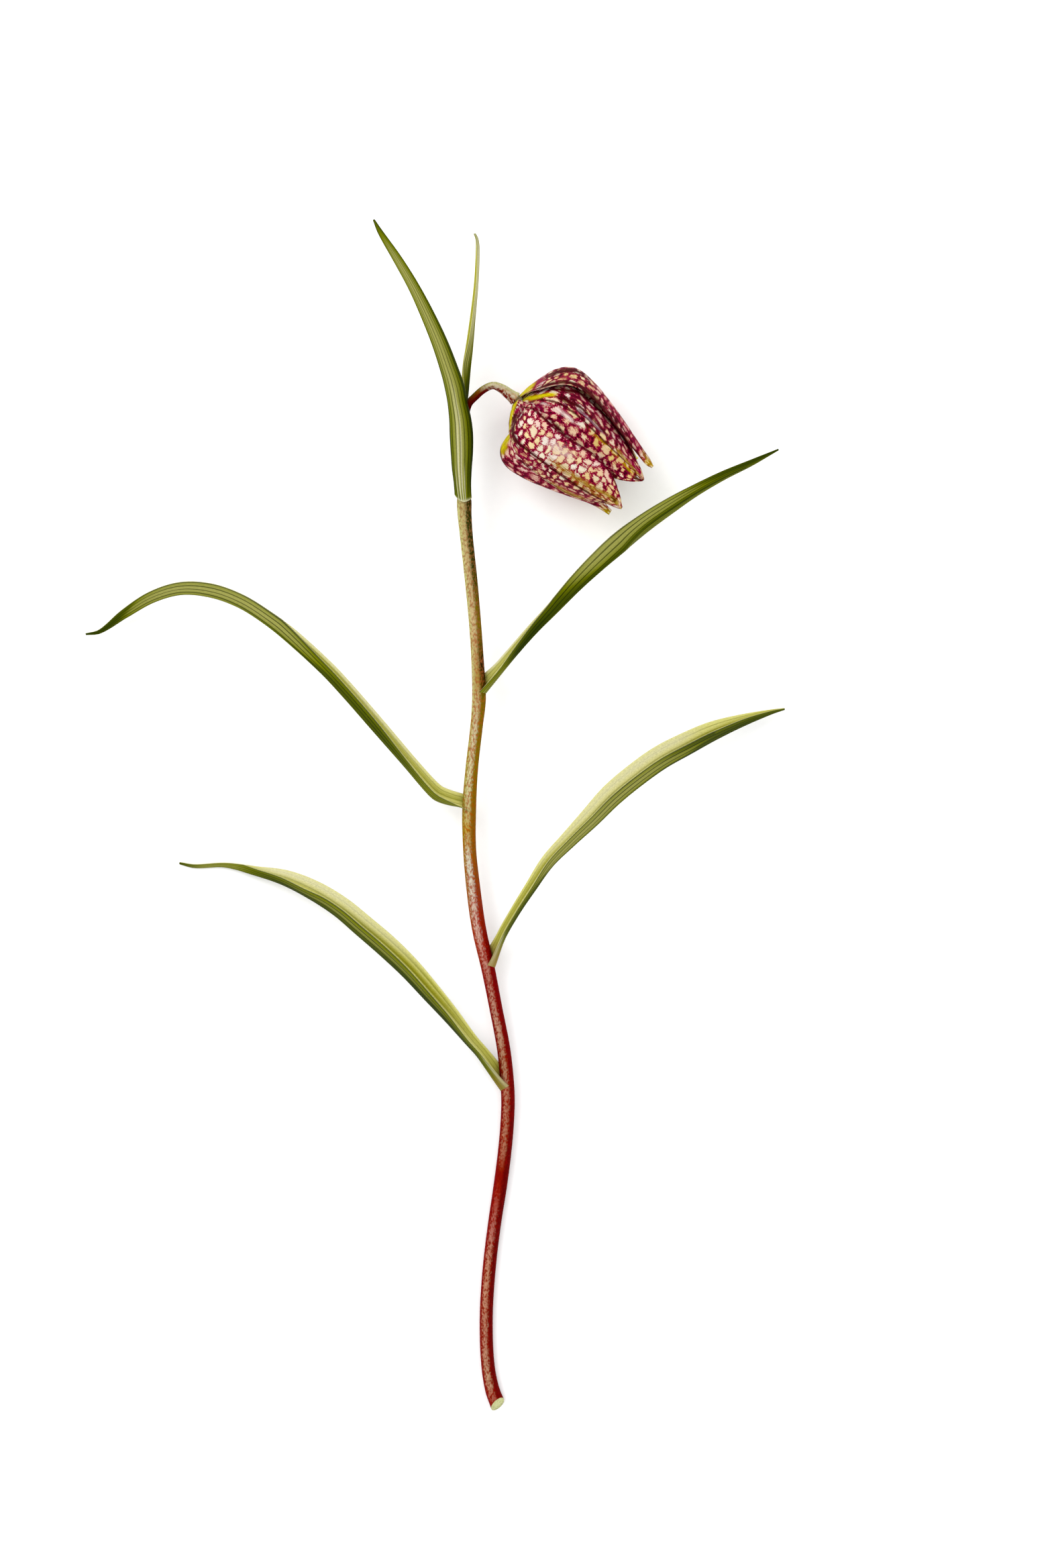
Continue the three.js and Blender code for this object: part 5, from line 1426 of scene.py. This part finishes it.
tepal_lines = np.linspace(0, 1, TEPAL_ROWS), np.linspace(-1, 1, TEPAL_COLUMNS)
share, s = np.meshgrid(*tepal_lines, indexing="ij")
edge = np.abs(s)
rim = smoothstep((edge - RIM_FROM) / EDGE_SOFTNESS)
rim = rim * (1 - smoothstep((share - RIM_LENGTH) / RIM_FADE))
line = smoothstep((edge - LINE_FROM) / EDGE_SOFTNESS)
line = line * (1 - smoothstep((edge - LINE_TO) / EDGE_SOFTNESS)) * LINE_STRENGTH
thick = TEPAL_THICKNESS * (1 - TEPAL_MARGIN_THINNING * edge ** 3)
for name, tepal in TEPALS.items():
    paint = TEPAL_PAINT.get(name, PLAIN_PAINT)
    across_mm = s * tepal_width(tepal, share, s)
    full_s = across_mm / tepal_half_width(share)[..., 0]
    ridges = RIDGE_HEIGHT * stroke_field(share, full_s, paint.get("ridges", []))
    floor = TEPAL_THICKNESS + GAP if tepal["inner"] else 0.0
    outer = pressed_flat(tepal_point(tepal, share, s, -ridges) + bell_base, floor)
    inner = pressed_flat(tepal_point(tepal, share, s, thick) + bell_base, floor + INNER_FACE_LIFT)
    marks = {mark: stroke_field(share, full_s, paint.get(mark, [])) for mark in STROKED_MARKS}
    marks["rim"] = rim * paint["rim"]
    marks["line"] = line
    marks["across"] = across_mm
    marks["along"] = share * tepal["reach"] * BELL_LENGTH
    surface = (full_s * paint["columns"] / 2, table(paint["rows"])(share)[..., 0])
    slot = "tepal_inner" if tepal["inner"] else "tepal_outer"
    make_blade(name + "_petal", outer, inner, surface, marks, tepal_material, slot, name)

# %% [markdown]
# Inside the bell six stamens stand round the pistil. The ovary is green and ends in a style with
# three branches. The filaments are pale, and the anthers are mustard yellow with powdery pollen.

# %% Organs inside the bell
OVARY_ROWS = [
    (2.55, 0.9), (3.4, 1.5), (5.6, 1.7), (7.6, 1.35), (9.2, 0.8), (12.0, 0.6), (20.5, 0.65),
]
BRANCH_ROWS = [(19.6, 0.1, 0.5), (22.0, 0.8, 0.45), (24.4, 1.6, 0.4), (26.2, 2.1, 0.4)]
FILAMENT_ROWS = [(2.7, 2.45, 0.4), (4.5, 2.6, 0.4), (9.0, 3.3, 0.36), (14.0, 3.7, 0.32)]
ANTHER_ROWS = [
    (14.3, 3.75, 0.35), (15.2, 3.85, 0.8), (17.5, 4.0, 0.95), (20.5, 4.15, 0.95),
    (22.9, 4.2, 0.7), (23.8, 4.2, 0.3),
]
STAMENS = 6
STIGMA_BRANCHES = 3
FIRST_ORGAN = 30  # degrees round the axis
ANTHER_GROOVES = 0.18  # share of the radius


def grained(name, first, second, grain_size, roughness, grooves):
    """Two colours mixed by fine grain of a size in mm, for the small organs of the flower."""
    material, add = new_material(name)
    place = add("TexCoord", out="Object")
    around = add("SeparateXYZ", (add("UVMap", uv_map="surface"),))
    grain = add("TexNoise", {"Vector": place, "Scale": 1000 / grain_size, "Detail": 3.0})
    turns = add("MULTIPLY", (around, 2 * math.pi * grooves))
    groove = add("COSINE", (turns,))
    shade = add("MapRange", (groove, -1.0, 1.0, 0.0, 0.5))
    amount = add("ADD", (grain, shade), use_clamp=True)
    mixed = add("Mix", (amount, first, second))
    finish_skin(add, mixed, amount, 0.3, 0.1, roughness, shine=USUAL_SHINE)
    return material


def on_bell(rows, degrees):
    """Rows along the axis, away from it and a thickness, as points in mm and that thickness."""
    rows = np.asarray(rows, float)
    away = bell_sky * math.cos(math.radians(degrees)) + bell_level * math.sin(math.radians(degrees))
    points = bell_base + bell_axis * rows[:, :1] + away * rows[:, 1:2]
    return np.concatenate([points, rows[:, 2:3]], axis=1)


def rod(rows, steps, sides, grooves=0.0):
    """A round body along rows; its radius dips with 1 - grooves * |cos 2 angle|."""
    path = path_table(rows)
    t = np.linspace(0, 1, steps)
    angle = np.arange(sides) * 2 * math.pi / sides
    radii = path(t)[:, 3:4] * (1 - grooves * np.abs(np.cos(2 * angle)) ** 4)
    points, faces = closed_round(round_rings(path, t, radii, sides, bell_sky))
    along = np.repeat(t, sides)
    around = np.tile(angle / (2 * math.pi), steps)
    surface = np.concatenate([np.stack([around, along], axis=1), [[0.5, 0.0], [0.5, 1.0]]])
    return points, faces, surface


ovary_green = grained("ovary flesh", "#a9b95c", "#7f9436", 0.6, roughness=0.45, grooves=3)
filament_cream = grained("filament flesh", "#e4e6c2", "#c9d09a", 0.5, roughness=0.5, grooves=2)
pollen = grained("pollen on the anther", "#e3bd3a", "#a97f12", 0.2, roughness=0.85, grooves=2)

ovary = on_bell([(along, 0.0, radius) for along, radius in OVARY_ROWS], 0)
pistil_rods = [rod(ovary, steps=60, sides=24)]
for k in range(STIGMA_BRANCHES):
    degrees = FIRST_ORGAN + 360 * k / STIGMA_BRANCHES
    pistil_rods.append(rod(on_bell(BRANCH_ROWS, degrees), steps=30, sides=16))
starts = np.cumsum([0] + [len(points) for points, _, _ in pistil_rods])
make_piece(
    "pistil_flesh",
    np.concatenate([points for points, _, _ in pistil_rods]),
    [part + start for (_, faces, _), start in zip(pistil_rods, starts) for part in faces],
    np.concatenate([surface for _, _, surface in pistil_rods]),
    {}, ovary_green, "pistil", "pistil",
)
for k in range(STAMENS):
    degrees = FIRST_ORGAN + 360 * k / STAMENS
    stalk = rod(on_bell(FILAMENT_ROWS, degrees), steps=40, sides=16)
    head = rod(on_bell(ANTHER_ROWS, degrees), steps=48, sides=24, grooves=ANTHER_GROOVES)
    for title, body, flesh, organ in (
        ("stalk", stalk, filament_cream, "filament"), ("head", head, pollen, "anther"),
    ):
        make_piece(f"{title}_of_stamen_{k + 1}", *body, {}, flesh, organ, f"{organ}_{k + 1}")

# %% [markdown]
# The table is a plain pale sheet. A large soft light from the upper left gives the folds their
# shape, and an even, nearly white sky keeps the shadows under the leaves faint.

# %% Table and light
SKY_STRENGTH = 1.26
KEY_POWER = 10.8
KEY_PLACE = (-0.9, 0.9, 1.4)  # metres, as are the next three
KEY_SIZE = 0.9
PLANT_MIDDLE = (0.0, 0.0, 0.01)
HALF_TABLE = 3
PAPER_TOOTH = 400.0  # runs per metre


def table_paper():
    """A matte, nearly white sheet with a trace of tooth; it keeps the picture's ground plain."""
    material, add = new_material("table paper")
    place = add("TexCoord", out="Object")
    tooth = add("TexNoise", {"Vector": place, "Scale": PAPER_TOOTH, "Detail": 2.0})
    tone = add("MapRange", (tooth, 0.0, 1.0, 0.96, 1.0))
    tone = add("CombineColor", (tone, tone, tone))
    matt = add("BsdfPrincipled", {
        "Base Color": tone, "Roughness": 0.9, "Specular IOR Level": 0.0,
    })
    add("OutputMaterial", (matt,))
    return material


floor_mesh = bpy.data.meshes.new("table_top")
corners = [(x * HALF_TABLE, y * HALF_TABLE, 0) for x, y in ((-1, -1), (1, -1), (1, 1), (-1, 1))]
floor_mesh.from_pydata(corners, [], [(0, 1, 2, 3)])
floor_mesh.materials.append(table_paper())
floor = bpy.data.objects.new("table_top", floor_mesh)
bpy.context.scene.collection.objects.link(floor)

world = bpy.data.worlds.new("studio")
bpy.context.scene.world = world
world.use_nodes = True
sky = world.node_tree.nodes["Background"]
sky.inputs["Color"].default_value = (1.0, 1.0, 1.0, 1.0)
sky.inputs["Strength"].default_value = SKY_STRENGTH

key_data = bpy.data.lights.new("key light", "AREA")
key_data.size = KEY_SIZE
key_data.energy = KEY_POWER
key_light = bpy.data.objects.new("key light", key_data)
key_light.location = KEY_PLACE
looks = mathutils.Vector(PLANT_MIDDLE) - mathutils.Vector(KEY_PLACE)
key_light.rotation_euler = looks.to_track_quat("-Z", "Y").to_euler()
bpy.context.scene.collection.objects.link(key_light)
bpy.context.scene.view_settings.view_transform = "Standard"
print("table and light are set")
